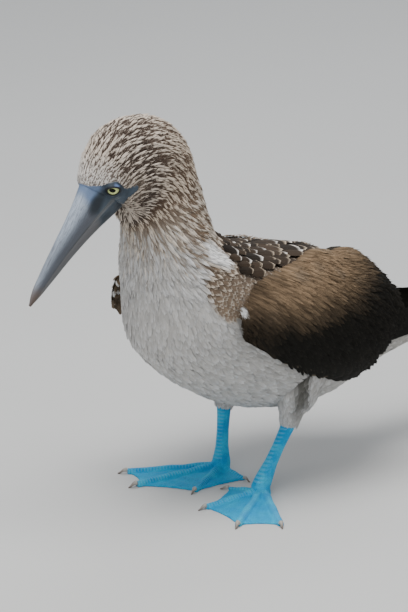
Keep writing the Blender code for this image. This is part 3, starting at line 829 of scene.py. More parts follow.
def markings(points, place, turn):
    """Base and edge colours, share of each feather that is edge, length and width."""
    off = from_back(turn)
    patchy = ripple(points, 26.0, 5)
    fine = ripple(points, 9.0, 6)
    y, z = points[:, 1], points[:, 2]
    marks = plumage("crown")

    # Crown to nape: chocolate, warmer behind.
    warm = ramp(3.4, 6.0, place)
    dye(marks, "nape", warm * 0.8, warm * 0.75)

    # Forehead by the bill: tiny, dense and pale.
    near = from_forehead(points)
    pale = (1 - ramp(7.0, 27.0, near + patchy * 4)) * (place < 5)
    dye(marks, "forehead", pale * 0.75, pale * 0.9)
    small = 1 - ramp(5.0, 34.0, near)
    length = 7.6 - 4.4 * small
    wide = 1.45 - 0.45 * small

    # Behind and below the face the feathers are dull tan and short.
    cheek = ramp(-13.0, -2.0, rim_distance(points)) * (place < 7)
    dye(marks, "cheek", cheek * 0.45 * (1 - pale), cheek * 0.6 * (1 - pale))
    length = length - 3.0 * cheek * (1 - small)
    wide = wide - 0.30 * cheek * (1 - small)

    # Throat and front of the neck fade to plain off-white, the hind neck keeps its streaks.
    neck = ramp(5.8, 8.0, place)
    length = length + neck * 3.4
    wide = wide + neck * 0.55
    dye(marks, "neck", neck * 0.55, neck * 0.7)
    throat = ramp(70, 145, off) * ramp(5.4, 7.2, place)
    marks["base"] = blend(throat * 0.75, marks["base"], THROAT_BASE)
    fade_at = 8.0 + 2.1 * (1 - ramp(60, 150, off)) + patchy * 0.15
    plain = ramp(fade_at - 1.2, fade_at + 0.8, place)
    mantle = ramp(-3.0, 3.0, inside_rim(y, z, MANTLE_RIM) + patchy * 2.5) * (place > 8.2)
    white = plain * (1 - mantle)
    dye(marks, "breast", white)
    fringe = mix(white, 0.46, 0.30)

    # Mantle, back and sides of the breast: brown scales with buff edges.
    dye(marks, "mantle", mantle)
    fringe = mix(mantle, fringe, 0.15)
    lower = (1 - ramp(178, 200, z)) * mantle
    dye(marks, "breast_side", lower * 0.4)
    body = ramp(8.8, 10.2, place)
    length = mix(body, length, 10.5 - 2.6 * mantle - 2.2 * lower)
    wide = mix(body, wide, 3.0 + 0.3 * mantle - 0.7 * lower)
    under = ramp(60, 120, off) * ramp(11.0, 12.5, place)
    length = length + 2.0 * under
    wide = wide + 0.8 * under

    # White patch at the base of the hind neck.
    patch = ramp(-2.5, 2.5, inside_rim(y, z, NAPE_PATCH) + patchy * 1.5) * (place > 8)
    dye(marks, "nape_patch", patch)

    # Breast and belly: faint grey mottling.
    dusk = ramp(0.1, 1.0, fine * 0.6 + patchy * 0.6) * white * ramp(8.6, 11, place)
    marks["base"] = blend(dusk * 0.30, marks["base"], DUSKY_BASE)

    # Painted shade: a dusky band down the flank where it covers the back of the thigh.
    band = 0.95 * np.exp(-(((y - np.where(points[:, 0] > 0, 23.0, 13.0)) / 7.0) ** 4))
    band = band * ramp(36, 42, np.abs(points[:, 0])) * (1 - ramp(96, 118, z))
    dye(marks, "thigh_shade_band", band)

    # Rump and vent: whitish above and below the tail's root.
    dye(marks, "rump", ramp(14.6, 15.2, place))
    return {**marks, "fringe": fringe, "length": length, "wide": wide}


def coat_depth(place):
    return 0.55 + 0.65 * ramp(0, 4, place) + 0.9 * ramp(8, 11, place)


# Skin


def thigh_stations(side):
    """Middles of the thigh's cross-sections from the body down, and their two half widths."""
    ankle = np.array((side * LEG_SPREAD, *ANKLE[side]))
    return (
        (np.array((side * 30.0, ankle[1] + 14.0, 98.0)), 25.0, 27.0),
        (np.array((side * 33.0, ankle[1] + 6.0, 76.0)), 17.0, 20.0),
        (ankle + (0, 2.5, 10.0), 11.0, 13.0),
        (ankle, 8.0, 9.5),
    )


def thigh_grid(side, rows, around, inset=0.0):
    """Points round the thigh from inside the body to the ankle."""
    stations = thigh_stations(side)
    centres = np.array([s[0] for s in stations])
    halves = np.array([s[1:] for s in stations])
    knots = np.arange(len(stations), dtype=float)
    at = np.linspace(0, len(stations) - 1, rows)
    middle = follow(knots, centres, at)
    half = follow(knots, halves, at) - inset
    way = unit(np.gradient(middle, axis=0))
    fore = unit(np.cross(way, (1.0, 0.0, 0.0)))
    across = np.cross(fore, way)
    turns = round_turns(around)
    return (middle[:, None] + across[:, None] * half[:, None, 0:1] * np.cos(turns)[None, :, None]
            + fore[:, None] * half[:, None, 1:2] * np.sin(turns)[None, :, None])


def eye_frame(side):
    """The eye's middle, the way it looks, and its own long and short directions."""
    look = eye_look(side)
    fore = np.array((-0.36 * side, -0.93, 0.11))
    long_way = unit(fore - look * (look @ fore))
    short_way = unit(np.cross(look, long_way))
    return eye_centre(side), look, long_way, short_way if short_way[2] > 0 else -short_way


def mouth_distance(points):
    best = np.full(len(points), FAR)
    for a, b in zip(MOUTH_CORNER[:-1], MOUTH_CORNER[1:]):
        way = b - a
        flat = points[:, 1:3]
        t = np.clip(((flat - a) @ way) / (way @ way), 0, 1)
        best = np.minimum(best, np.linalg.norm(flat - a - t[:, None] * way, axis=1))
    return best


def refine_near(piece, spots, radius, cuts):
    """Splits the faces near some spots more finely."""
    shape = bmesh.new()
    shape.from_mesh(piece.data)
    marked = []
    for edge in shape.edges:
        middle = in_stance(np.array((edge.verts[0].co + edge.verts[1].co) / 2))
        if min(np.linalg.norm(middle - s) for s in spots) < radius:
            marked.append(edge)
    bmesh.ops.subdivide_edges(shape, edges=marked, cuts=cuts, use_grid_fill=True)
    bmesh.ops.triangulate(shape, faces=[f for f in shape.faces if len(f.verts) > 4])
    shape.to_mesh(piece.data)
    shape.free()
    piece.data.shade_smooth()


def shape_lids(points, side):
    """Draws the skin over the eye as lids round an oval opening, and in behind the ball."""
    centre, look, long_way, short_way = eye_frame(side)
    rel = points - centre
    a, b, height = rel @ long_way, rel @ short_way, rel @ look
    near = (np.hypot(a, b) < 12.0) & (height > -2.0) & (points[:, 0] * side > 0)
    oval = np.hypot(a / LID_WIDE, b / LID_TALL)
    flat = np.minimum(a * a + b * b, EYE_RADIUS**2)
    ball = np.sqrt(EYE_RADIUS**2 - flat)
    lid = ball + LID_THICKNESS
    drape = 0.5 * (height + lid + np.sqrt((height - lid) ** 2 + 0.5))
    lid_line = mix(1 - ramp(6.0, 9.5, np.hypot(a, b)), height, drape)
    rim = 0.40 * np.exp(-(((oval - 1.13) / 0.12) ** 2))
    fold = -0.30 * np.exp(-(((oval - 1.72) / 0.16) ** 2))
    new = mix(1 - ramp(0.93, 1.02, oval), lid_line + rim + fold, ball - 1.6)
    moved = points + look * ((new - height) * near)[:, None]
    return moved, np.where(near, oval, NO_LID)


def make_skin():
    depth = coat_depth(PLACES)[:, None] * np.ones(len(TURNS))[None, :]
    bare = bare_share(BODY.reshape(-1, 3)).reshape(depth.shape)
    skin = loft("skin", BODY - BODY_OUT * (depth * (1 - bare))[..., None])
    union(skin, *(loft("thigh", thigh_grid(side, 26, 40, inset=1.6)) for side in (1, -1)))
    skin.name = skin.data.name = "skin"
    refine_near(skin, [EYE_SURFACE, EYE_SURFACE * (-1, 1, 1)], 11.0, 3)
    points = corners(skin)
    marks = markings(points, *place_of(points))
    bare = bare_share(points)
    opening = np.full(len(points), NO_LID)
    for side in (1, -1):
        points, near = shape_lids(points, side)
        opening = np.minimum(opening, near)
    gape = np.exp(-((mouth_distance(points) / 0.8) ** 2)) * (bare > 0.5)
    gape = gape * (np.abs(points[:, 0]) > 8) * ramp(-4.0, 0.0, head_view(points)[0])
    points = points - out_ways(skin) * (gape * 0.8)[:, None]
    set_corners(skin, points)
    store(skin, "base", blend(0.35, marks["base"], marks["edge"]), "FLOAT_VECTOR")
    store(skin, "bare", bare)
    store(skin, "opening", np.minimum(opening, 4.0))
    store(skin, "gape", np.clip(mouth_distance(points), 0, 6))
    store_head_place(skin, points)
    skin.data.materials.clear()
    skin.data.materials.append(skin_paint())
    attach(skin, "root")
    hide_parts("head", "neck", "torso", "thigh_left", "thigh_right")


def store_head_place(piece, points):
    """Keeps each point's place in the head's side view, and its distance from the middle."""
    store(piece, "head_place", np.stack((*head_view(points), points[:, 0]), axis=1), "FLOAT_VECTOR")


def bare_skin_colour(paint, f, u, broad):
    """Slate-blue face: a bluer brow, paler towards the bill's ridge."""
    slate = paint.mix(broad.ramp(0.35, 0.65), SLATE_DARK, SLATE_LIGHT)
    top = (u + 8.5).ramp(-4.0, 2.5) * (f + 7.0).ramp(0.0, 4.5)
    return paint.mix(top * 0.90, slate, SLATE_TOP)


def lore_shade(paint, colour, f, u):
    """The dark patch low on the side of the bill's root, from before the eye."""
    patch = ((f - 9.5) ** 2.0) * 0.0070 + ((u + 13.0) ** 2.0) * 0.0230
    return paint.mix((1.0 - patch.ramp(0.05, 1.05)) * 0.90, colour, LORE_DARK)


def skin_paint():
    """Down under the feathers, and the bare slate-blue face."""
    paint = Paint("skin")
    bare, opening, gape = paint.number("bare"), paint.number("opening"), paint.number("gape")
    f, u, _ = paint.parts("head_place")
    broad = paint.noise(140.0, 3.0)
    fine = paint.noise(1500.0, 2.0)
    pores = paint.cells(1500.0)
    slate = lore_shade(paint, bare_skin_colour(paint, f, u, broad), f, u)
    line = (1.0 - abs(gape - 0.9).ramp(0.15, 0.8)) * (f + 5.0).ramp(0.0, 3.0)
    slate = paint.mix(line * 0.60, slate, GAPE_PALE)
    slit = (1.0 - gape.ramp(0.1, 0.55)) * (f + 4.0).ramp(0.0, 3.0)
    slate = paint.mix(slit * 0.3, slate, GAPE_SLIT)
    shade = 1.0 - opening.ramp(1.35, 2.5)
    slate = paint.mix(shade * 0.6, slate, LID_SHADE)
    # Painted highlight: a small blue glint on the wet brow ridge above the eye.
    brow = (1.0 - abs(u + 15.0).ramp(0.8, 3.6)) * (1.0 - abs(f + 10.0).ramp(0.3, 2.2))
    slate = paint.mix(brow * 0.85, slate, BROW_HIGHLIGHT)
    lids = 1.0 - opening.ramp(1.28, 1.42)
    slate = paint.mix(lids, slate, LID_RIM)
    slate = paint.scaled(slate, 0.85 + fine * 0.3)
    down = paint.scaled(paint.colour("base"), 0.70 + broad * 0.4)
    colour = paint.mix(bare, down, slate)
    normal = paint.bump(pores * bare * 0.8 + broad * bare * 1.5, 0.12)
    rough = 0.85 - bare * 0.35
    return paint.finish(colour, rough, normal, Specular_IOR_Level=0.35)


# Coat on the body


def scatter(points, spacing, seed, way=None, stretch=1.0):
    """A random choice of points, none nearer to another than its own spacing.

    With a way, the spacing along it is longer by the stretch.
    """
    rng = np.random.default_rng(seed)
    tree = tree_of(points)
    free = np.ones(len(points), bool)
    kept = []
    for index in rng.permutation(len(points)):
        if not free[index]:
            continue
        kept.append(index)
        found = tree.find_range(Vector(points[index]), spacing[index] * stretch)
        near = np.fromiter((item[1] for item in found), int)
        if way is not None:
            rel = points[near] - points[index]
            run = rel @ way[index]
            across = np.maximum(np.sum(rel * rel, axis=1) - run * run, 0.0)
            near = near[(run / stretch) ** 2 + across < spacing[index] ** 2]
        free[near] = False
    return np.array(kept)


def streaks(points, way, reach, across, seed):
    """Random shares from 0 to 1, alike along the way and unlike across it: thin streaks."""
    own = np.random.default_rng(seed).normal(size=len(points))
    reaches, widths = np.broadcast_to(reach, len(points)), np.broadcast_to(across, len(points))
    tree = tree_of(points)
    level = np.empty(len(points))
    for index, (point, far, wide) in enumerate(zip(points, reaches, widths)):
        near = np.fromiter((item[1] for item in tree.find_range(Vector(point), far)), int)
        rel = points[near] - point
        run = rel @ way[index]
        aside = np.maximum(np.sum(rel * rel, axis=1) - run * run, 0.0)
        weight = np.exp(-aside / wide**2) - 0.5 * np.exp(-aside / (2 * wide) ** 2)
        weight = weight * (1 - (run / far) ** 2)
        level[index] = weight @ own[near] / np.sqrt(weight @ weight)
    return level.argsort().argsort() / (len(points) - 1)


def sample_grid(layers, tries, rng, dense=None, closed=True):
    """Values of a grid's layers at random points of it, picked by area, and where these lie.

    The first layer is the grid's own points. A closed grid joins up round its rows. Where a row is
    dense, its cells are picked more often.
    """
    if closed:
        layers = [np.concatenate((layer, layer[:, :1]), axis=1) for layer in layers]
    grid = layers[0]
    start = grid[:-1, :-1]
    area = np.linalg.norm(np.cross(grid[1:, :-1] - start, grid[:-1, 1:] - start), axis=2)
    if dense is not None:
        area = area * dense[:-1, None]
    r, k = np.divmod(rng.choice(area.size, tries, p=area.ravel() / area.sum()), area.shape[1])
    down, aside = rng.random((tries, 1)), rng.random((tries, 1))
    values = [mix(down, mix(aside, layer[r, k], layer[r, k + 1]),
                  mix(aside, layer[r + 1, k], layer[r + 1, k + 1])) for layer in layers]
    return (*values, r + down[:, 0], k + aside[:, 0])


def spots_on(grid, tries, rng, dense=None):
    """Random points on a closed grid, with their outward directions, ways, rows and columns."""
    at, out, way, row, col = sample_grid((grid, *grid_ways(grid)), tries, rng, dense)
    return at, unit(out), unit(way), row, col


def lay(at, out, way, marks, lean, seed, swing=5.0, wave=9.0, roll=9.0, size_spread=0.14):
    """Roots with every feather turned along its way, leant out and a little irregular.

    The feathers swing to and fro together, in waves, and each a little on its own.
    """
    rng = np.random.default_rng(seed)
    count = len(at)
    way = laid(way, out)
    side = np.cross(way, out)
    swing = np.radians(rng.normal(0, swing, count) + wave * ripple(at, 13.0, seed))[:, None]
    way = way * np.cos(swing) + side * np.sin(swing)
    lean = np.radians(lean + rng.normal(0, 2.0, count))[:, None]
    tilted = way * np.cos(lean) + out * np.sin(lean)
    up = out * np.cos(lean) - way * np.sin(lean)
    rolled = np.radians(rng.normal(0, roll, count))[:, None]
    up = up * np.cos(rolled) + np.cross(tilted, up) * np.sin(rolled)
    grown = 1 + rng.normal(0, size_spread, count)
    length, wide = marks["length"] * grown, marks["wide"] * grown
    return {
        "at": at, "way": tilted, "out": up,
        "size": np.stack((wide, length, length), axis=1),
        "base": marks["base"], "edge": marks["edge"],
        "fringe": np.clip(marks["fringe"] * (1 + rng.normal(0, 0.25, count)), 0.02, 0.9),
        "tone": rng.random(count),
    }


def hidden_under(points, out, shell, reach):
    """Which points have the shell close above them."""
    found = np.zeros(len(points), bool)
    for index, (point, way) in enumerate(zip(points, out)):
        hit = shell.ray_cast(Vector(point + way * 0.2), Vector(way), reach)
        found[index] = hit[0] is not None
    return found


def shell_of(*nodes):
    """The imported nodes' surfaces, in stance millimetres."""
    points, faces, start = [], [], 0
    for node in nodes:
        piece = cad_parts[node]
        points.append(corners(piece))
        faces += [[i + start for i in face.vertices] for face in piece.data.polygons]
        start += len(piece.data.vertices)
    return BVHTree.FromPolygons([Vector(p) for p in np.concatenate(points)], faces)


HEAD_VANE = ((0, 0.50), (0.35, 1.0), (0.72, 0.72), (1.0, 0.12))
BODY_VANE = ((0, 0.40), (0.25, 0.85), (0.6, 1.0), (0.85, 0.82), (1.0, 0.30))
STREAK_VANE = ((0, 0.45), (0.35, 1.0), (0.75, 0.80), (1.0, 0.14))

# Pieces of the body's coat: where each ends along the body, its kind of feather, and its slot.
BODY_PIECES = (
    ("forehead_feathers", 2.6, "head", "head_feathers"),
    ("crown_feathers", 4.2, "head", "head_feathers"),
    ("nape_and_cheek_feathers", 5.8, "head", "head_feathers"),
    ("hind_neck_feathers", 7.2, "head", "head_feathers"),
    ("neck_feathers", 9.2, "head", "body_feathers"),
    ("shoulder_feathers", 10.4, "body", "body_feathers"),
    ("breast_feathers", 11.8, "body", "body_feathers"),
    ("belly_and_back_feathers", 13.6, "body", "body_feathers"),
    ("rump_feathers", 16.1, "body", "body_feathers"),
)


def body_coat():
    rng = np.random.default_rng(11)
    dense = 1 + 3.2 * (1 - ramp(7.0, 9.5, PLACES))
    at, out, way, row, col = spots_on(BODY, BODY_TRIES, rng, dense)
    place = np.interp(row, np.arange(len(PLACES), dtype=float), PLACES)
    turn = col / len(TURNS) * 2 * math.pi

    # On the neck's sides the feathers also run backwards.
    off = from_back(turn)
    back = 0.85 * ramp(5.6, 7.2, place) * (1 - ramp(9.2, 10.4, place)) * (1 - ramp(105, 165, off))
    way = laid(way + back[:, None] * np.array((0.0, 1.0, 0.0)), out)

    mixed = ramp(6.0, 7.0, place) * (1 - ramp(9.0, 9.8, place))
    marks = markings(at, place + rng.normal(0, 0.6, len(at)) * mixed, turn)
    spacing = (0.60 - 0.08 * (1 - ramp(8.8, 10.0, place))) * marks["wide"]
    index = np.flatnonzero(~(on_head(at) & (rim_distance(at) > 0.2)))
    index = index[scatter(at[index], spacing[index], 12, way[index], 1.9)]
    wings = shell_of("wing_left", "wing_right", "tail")
    index = index[~hidden_under(at[index], out[index], wings, 16.0)]
    at, out, way, place, turn = (values[index] for values in (at, out, way, place, turn))
    marks = chosen(marks, index)
    mantle = ramp(-3.0, 3.0, inside_rim(at[:, 1], at[:, 2], MANTLE_RIM)) * (place > 9)

    # On head and neck whole streaks of feathers are pale and stand up, or dark and lie low.
    low_brow = 1 - ramp(12.0, 32.0, from_forehead(at))
    long_neck = ramp(5.5, 8.0, place)
    pale = streaks(at, way, 8.5 - 5.3 * low_brow, 0.80 - 0.26 * low_brow + 0.25 * long_neck, 17)
    streaky = 1 - ramp(9.0, 10.0, place)
    dark_share = 0.37 + 0.36 * ramp(1.0, 2.9, place) - 0.05 * ramp(3.6, 4.8, place)
    pale_edge = 0.05 + 0.70 * ramp(-0.15, 0.15, pale - dark_share)
    marks["fringe"] = mix(streaky, marks["fringe"], pale_edge)
    marks["length"] = marks["length"] * (1 + 0.14 * (pale - 0.5) * streaky)
    lift = 0.55 * (pale - 0.5) * streaky * ramp(2.0, 4.5, marks["length"])
    lean = 11.0 - 6.5 * ramp(8.2, 10.2, place) + 3.5 * mantle
    depth = coat_depth(place) * 0.9 - lift
    roots = lay(at - out * depth[:, None], out, way, marks, lean, 13)

    kinds = {
        "head": (small_vane("head_vane", HEAD_VANE, 0.075, 0.05),
                 feather_paint("head_coat", 5.0, shaft=0.10, hem=0.14, soft=0.15)),
        "body": (small_vane("body_vane", BODY_VANE, 0.05, 0.09),
                 feather_paint("body_coat", 9.0, shaft=0.08, soft=0.22, root=0.93)),
    }
    start = 0.0
    for name, end, kind, slot in BODY_PIECES:
        inside = (place >= start) & (place < end)
        piece_roots = chosen(roots, inside)
        piece_roots["root_map"] = bake_place(turn[inside] / (2 * math.pi),
                                             (place[inside] - start) / (end - start))
        grow_coat(name, piece_roots, *kinds[kind])
        start = end


def thigh_coat():
    finish = feather_paint("thigh_coat", 9.0, shaft=0.08, soft=0.22, root=0.88)
    vane = small_vane("thigh_vane", BODY_VANE, 0.05, 0.06)
    torso = shell_of("torso")
    rows, around = 40, 48
    for side in (1, -1):
        rng = np.random.default_rng(30 + side)
        at, out, way, row, col = spots_on(thigh_grid(side, rows, around), THIGH_TRIES, rng)
        level = row / (rows - 1)
        # Painted shade along the thigh's rear edge, where the flank covers it.
        band = np.exp(-(((at[:, 1] - ANKLE[side][0] - 2) / 7.0) ** 4)) * (side * at[:, 0] > 34)
        marks = plumage("breast", fringe=np.full(len(at), 0.3), length=10.0 - 5.0 * level,
                        wide=3.4 - 1.6 * level)
        dye(marks, "thigh_shade_band", band * ramp(50, 82, at[:, 2]) * 0.95)
        index = scatter(at, 0.55 * marks["wide"], 33, way, 1.8)
        outside = []
        for i in index:
            near, normal, _, _ = torso.find_nearest(Vector(at[i]))
            outside.append((Vector(at[i]) - near).dot(normal) > -0.5)
        index = index[np.array(outside)]
        roots = lay(at[index] - out[index] * 1.2, out[index], way[index], chosen(marks, index),
                    7.0, 34)
        roots["root_map"] = bake_place(col[index] / around, level[index])
        grow_coat(f"thigh_feathers_{WORDS[side]}", roots, vane, finish)


# Long feathers: wings, shoulders and tail


LONG_VANE = np.array(((0, 0.55), (0.12, 0.80), (0.3, 0.95), (0.5, 1.0), (0.68, 0.98), (0.82, 0.90),
                      (0.91, 0.74), (0.97, 0.48), (1.0, 0.16)))
SHOULDER_VANE = np.array(((0, 0.45), (0.15, 0.72), (0.35, 0.93), (0.55, 1.0), (0.72, 0.97),
                          (0.85, 0.84), (0.93, 0.65), (0.98, 0.42), (1.0, 0.15)))


class Plumes:
    """Long feathers gathered into one piece."""

    def __init__(self, name):
        self.name = name
        self.points, self.faces, self.start = [], [], 0
        self.kept = {key: [] for key in ("along", "across", "tone", "fringe", "base", "edge")}

    def add(self, path, outs, half_wide, marks, outline=LONG_VANE, camber=0.9, columns=4):
        """One closed vane along its path, arched across, rounded at its tip."""
        path, outs = np.asarray(path, float), np.asarray(outs, float)
        ways = unit(np.gradient(path, axis=0))
        side = unit(np.cross(outs, ways))
        outs = unit(np.cross(ways, side))
        across = np.linspace(-1, 1, columns + 1)
        drawn_in = 0.5 * half_wide * (across**2)[None, :] * (outline[:, 0:1] ** 6)
        rows = (path[:, None]
                + side[:, None] * (half_wide * outline[:, 1:2] * across[None, :])[..., None]
                + outs[:, None] * (camber * outline[:, 1:2] * (1 - across**2)[None, :])[..., None]
                - ways[:, None] * drawn_in[..., None])
        self.faces += vane_faces(len(path), columns, self.start)
        self.points.append(rows.reshape(-1, 3))
        total = rows.shape[0] * rows.shape[1]
        self.start += total
        self.kept["along"].append(np.repeat(outline[:, 0], columns + 1))
        self.kept["across"].append(np.tile(across, len(path)))
        for key in ("tone", "fringe"):
            self.kept[key].append(np.full(total, marks[key]))
        for key in ("base", "edge"):
            self.kept[key].append(np.tile(np.asarray(marks[key], float), (total, 1)))

    def piece(self, finish, slot):
        made = make_mesh(self.name, np.concatenate(self.points), self.faces, finish)
        turn_outwards(made)
        made.data.set_sharp_from_angle(angle=math.radians(55))
        for key, values in self.kept.items():
            kind = "FLOAT_VECTOR" if key in ("base", "edge") else "FLOAT"
            store(made, key, np.concatenate(values), kind)
        cells = math.ceil(math.sqrt(len(self.points)))
        number = np.repeat(np.arange(len(self.points)), [len(part) for part in self.points])
        u = (number % cells + 0.5 + 0.42 * np.concatenate(self.kept["across"])) / cells
        v = (number // cells + 0.06 + 0.88 * np.concatenate(self.kept["along"])) / cells
        layer = made.data.uv_layers.new(name="OFBake")
        corner = np.empty(len(made.data.loops), np.int32)
        made.data.loops.foreach_get("vertex_index", corner)
        layer.data.foreach_set("uv", np.stack((u, v), axis=1)[corner].astype(np.float32).ravel())
        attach(made, "root")
        return made


def on_wing(y, angle, lift=0.0):
    """Points on the folded left wing's outer surface, lift millimetres out of it."""
    y, angle = np.broadcast_arrays(np.asarray(y, float), np.asarray(angle, float))
    height, wide, tall = np.moveaxis(follow(WING_LINES[:, 0], WING_LINES[:, 1:4], y), -1, 0)
    turn = np.radians(angle)
    point = np.stack((wide * np.sin(turn), y, height + tall * np.cos(turn)), axis=-1)
    out = unit(np.stack((tall * np.sin(turn), 0 * turn, wide * np.cos(turn)), axis=-1))
    return point + out * np.asarray(lift, float)[..., None]


def wing_out(y, angle):
    return unit(on_wing(y, angle, 1.0) - on_wing(y, angle, 0.0))


def on_side(side, points):
    """The left wing's points as they lie on one side's wing."""
    return points if side > 0 else np.asarray(points) * (-1, 1, 1) + RIGHT_WING_MOVE


def facing(side, ways):
    return ways if side > 0 else ways * (-1, 1, 1)


def above_border(points):
    """Height of points of the left wing above the border between its brown and its black."""
    return points[:, 2] - np.interp(points[:, 1], WING_BORDER[:, 0], WING_BORDER[:, 1])


def black_share(points):
    """How black the wing is at points of its left side: the border runs down to the front."""
    ragged = ripple(points * (1, 1, 0.35), 17.0, 41) * 5.0 + ripple(points, 7.0, 42) * 2.0
    front = 0.55 * (1 - ramp(-62, -25, points[:, 1]))
    return (1 - ramp(-13.0, 9.0, above_border(points) + ragged)) * (1 - front)


def wing_marks(points, streak):
    """Colours of wing feathers rooted at points of the left wing, darker where streak is low."""
    y, z = points[:, 1], points[:, 2]
    light = ramp(-3.0, 27.0, above_border(points) + 4.0 * ripple(points, 12.0, 44))
    base = blend(light, WING_LOW_BROWN, WING_HIGH_BROWN)
    grey = ramp(0.2, 0.9, ripple(points * (1, 1, 0.5), 24.0, 43))
    base = blend(grey * 0.35 * light, base, WING_GREY)
    base = base * (0.80 + 0.40 * ramp(0.10, 0.92, streak))[:, None]
    cloudy = ripple(points * (1, 1, 0.7), 13.0, 45) + 0.7 * ripple(points, 5.5, 46)
    base = base * (1 + 0.28 * np.clip(cloudy, -1.5, 1.5))[:, None]
    dusky = 0.38 * (1 - ramp(-58, 5, y)) + 0.30 * (1 - ramp(-45, 0, y)) * ramp(176, 188, z)
    base = base * (1.08 - dusky[:, None])
    marks = {"base": base, "edge": base * 1.25 + WING_EDGE_GAIN, "fringe": 0.14 + 0.06 * streak}
    dye(marks, "wing_black", black_share(points))
    dye(marks, "wing_spot", 1 - ramp(1.8, 3.2, np.hypot(y + 57.5, 0.6 * (z - 173.0))))
    return marks


def wing_rings(side):
    """Rings of the wing's body under its feathers, from its bend aft, as on the left wing."""
    left = side > 0
    thin = 0.15 if left else 0.40
    share = np.linspace(0, 1, 26)
    swell = np.sin(math.pi * share) ** 0.5
    rings = []
    for y in np.linspace(WING_LINES[0, 0] + (3.0 if left else 0.0), WING_LINES[-1, 0], 64):
        fullest = y if left else max(y, -50.0)
        upper, lower, thick = follow(WING_LINES[:, 0], WING_LINES[:, 4:7], np.array([fullest]))[0]
        if not left:
            lower = lower + (upper - lower) * 0.22 * (1 - ramp(-62, -50, y))
        thick = thick * (thin + (1 - thin) * ramp(-59, -47, y))
        angle = upper + (lower - upper) * share
        depth = min(thick * 0.25, 1.6)
        across = np.full(len(share), y)
        outer = on_wing(across, angle, -depth - (thick * 0.45 - depth) * (1 - swell))
        inner = on_wing(across, angle, -thick * (0.55 + 0.45 * swell))
        rings.append(np.concatenate((outer, inner[::-1])))
    return np.array(rings)


def add_rim_feathers(plumes, side, rng):
    """Flight feathers and greater coverts round the wing's rim."""
    t = LONG_VANE[:, 0]
    knots = np.arange(len(WING_RIM), dtype=float)
    for rank, (scale, count, length, half_wide, lift) in enumerate(WING_TIERS):
        for place in np.linspace(0, knots[-1], count):
            rim = follow(knots, WING_RIM, np.array([place]))[0]
            tip = RIM_CENTRE + (rim - RIM_CENTRE) * (scale + rng.normal(0, 0.006))
            climb = place / knots[-1]
            if rank > 0 and climb < 0.30:
                continue
            way = np.array((0.72 + 0.22 * climb, 0.62 - 0.36 * climb))
            spots = tip - way * length * (1 - t[:, None])
            low = 1.2 * (1 - ramp(0.05, 0.45, climb))
            height = -2.5 + (lift - low + rng.normal(0, 0.15) + 2.5) * t**0.6
            path = on_wing(spots[:, 0], spots[:, 1], height)
            outs = wing_out(spots[:, 0], spots[:, 1])
            marks = chosen(wing_marks(path[4:5], rng.random(1)), 0)
            if rank == 0 and 0.02 < climb < 0.24:
                marks["edge"], marks["fringe"] = PALE_RIM, 0.02
            marks["tone"] = rng.random()
            plumes.add(on_side(side, path), facing(side, outs), half_wide, marks)


def add_quills(plumes, side, rng):
    """The long flight feathers, stacked beside the rump and the tail."""
    t = LONG_VANE[:, 0]
    for rank in range(QUILLS):
        tip = QUILL_TIP - QUILL_STEP * rank
        y = QUILL_PATH[0, 0] + (tip - QUILL_PATH[0, 0]) * t
        xz = follow(QUILL_PATH[:, 0], QUILL_PATH[:, 1:], y)
        spread = (1 - 0.5 * t) * (rank - 0.5 * QUILLS + 1.5)
        path = np.stack((xz[:, 0] + 0.3 * rank, y, xz[:, 1] + QUILL_RISE * spread), axis=1)
        outs = np.tile(np.array((1.0, 0.0, 0.15)), (len(t), 1))
        marks = plumage("wing_black", fringe=0.04, tone=rng.random())
        plumes.add(on_side(side, path), facing(side, outs), QUILL_HALF_WIDE, marks, camber=0.8)


def wing_coverts(side, rng):
    """Coverts: narrow and streaky over the brown part, broader in the black."""
    ys = np.linspace(-61.5, 138, 80)
    edges = follow(WING_LINES[:, 0], WING_LINES[:, 4:6], ys)
    share = np.linspace(0.0, 1.0, 60)
    angles = edges[:, 0:1] - 4 + (edges[:, 1:2] - edges[:, 0:1] + 2) * share[None, :]
    ys = np.repeat(ys[:, None], len(share), axis=1)
    layers = (on_wing(ys, angles, -0.2), wing_out(ys, angles), ys[..., None], angles[..., None])
    at, out, y, angle, _, _ = sample_grid(layers, WING_TRIES, rng, closed=False)
    out, y, angle = unit(out), y[:, 0], angle[:, 0]
    climb = 1 - (angle - 20) / 100
    stepped = on_wing(y + 0.72 + 0.3 * climb, angle + 0.62 - 0.25 * climb, -0.2)
    way = unit(stepped - on_wing(y, angle, -0.2))
    black = black_share(at)
    fore = 1 - ramp(-58, 0, at[:, 1])
    aft = ramp(70, 120, at[:, 1])
    long = (12.5 - 5.0 * fore + 1.5 * black) * (1 - 0.30 * aft)
    wide = 1.65 - 0.3 * fore + 1.9 * black
    index = scatter(at, 0.54 * wide, 52, way, 2.4)
    streak = streaks(at[index], way[index], 12.0, 1.2, 54)
    marks = wing_marks(at[index], streak)
    marks["length"], marks["wide"] = long[index], wide[index]
    raised = at[index] + out[index] * (0.3 * (streak - 0.5))[:, None]
    roots = lay(on_side(side, raised), facing(side, out[index]), facing(side, way[index]), marks,
                3.2, 53, swing=3.0, wave=6.0, roll=6.0, size_spread=0.10)
    roots["root_map"] = bake_place((y[index] + 60) / 200, (angle[index] + 10) / 160)
    vane = small_vane("covert_vane", STREAK_VANE, 0.030, 0.08)
    grow_coat(f"wing_{WORDS[side]}_coverts", roots, vane, WING_PAINT)


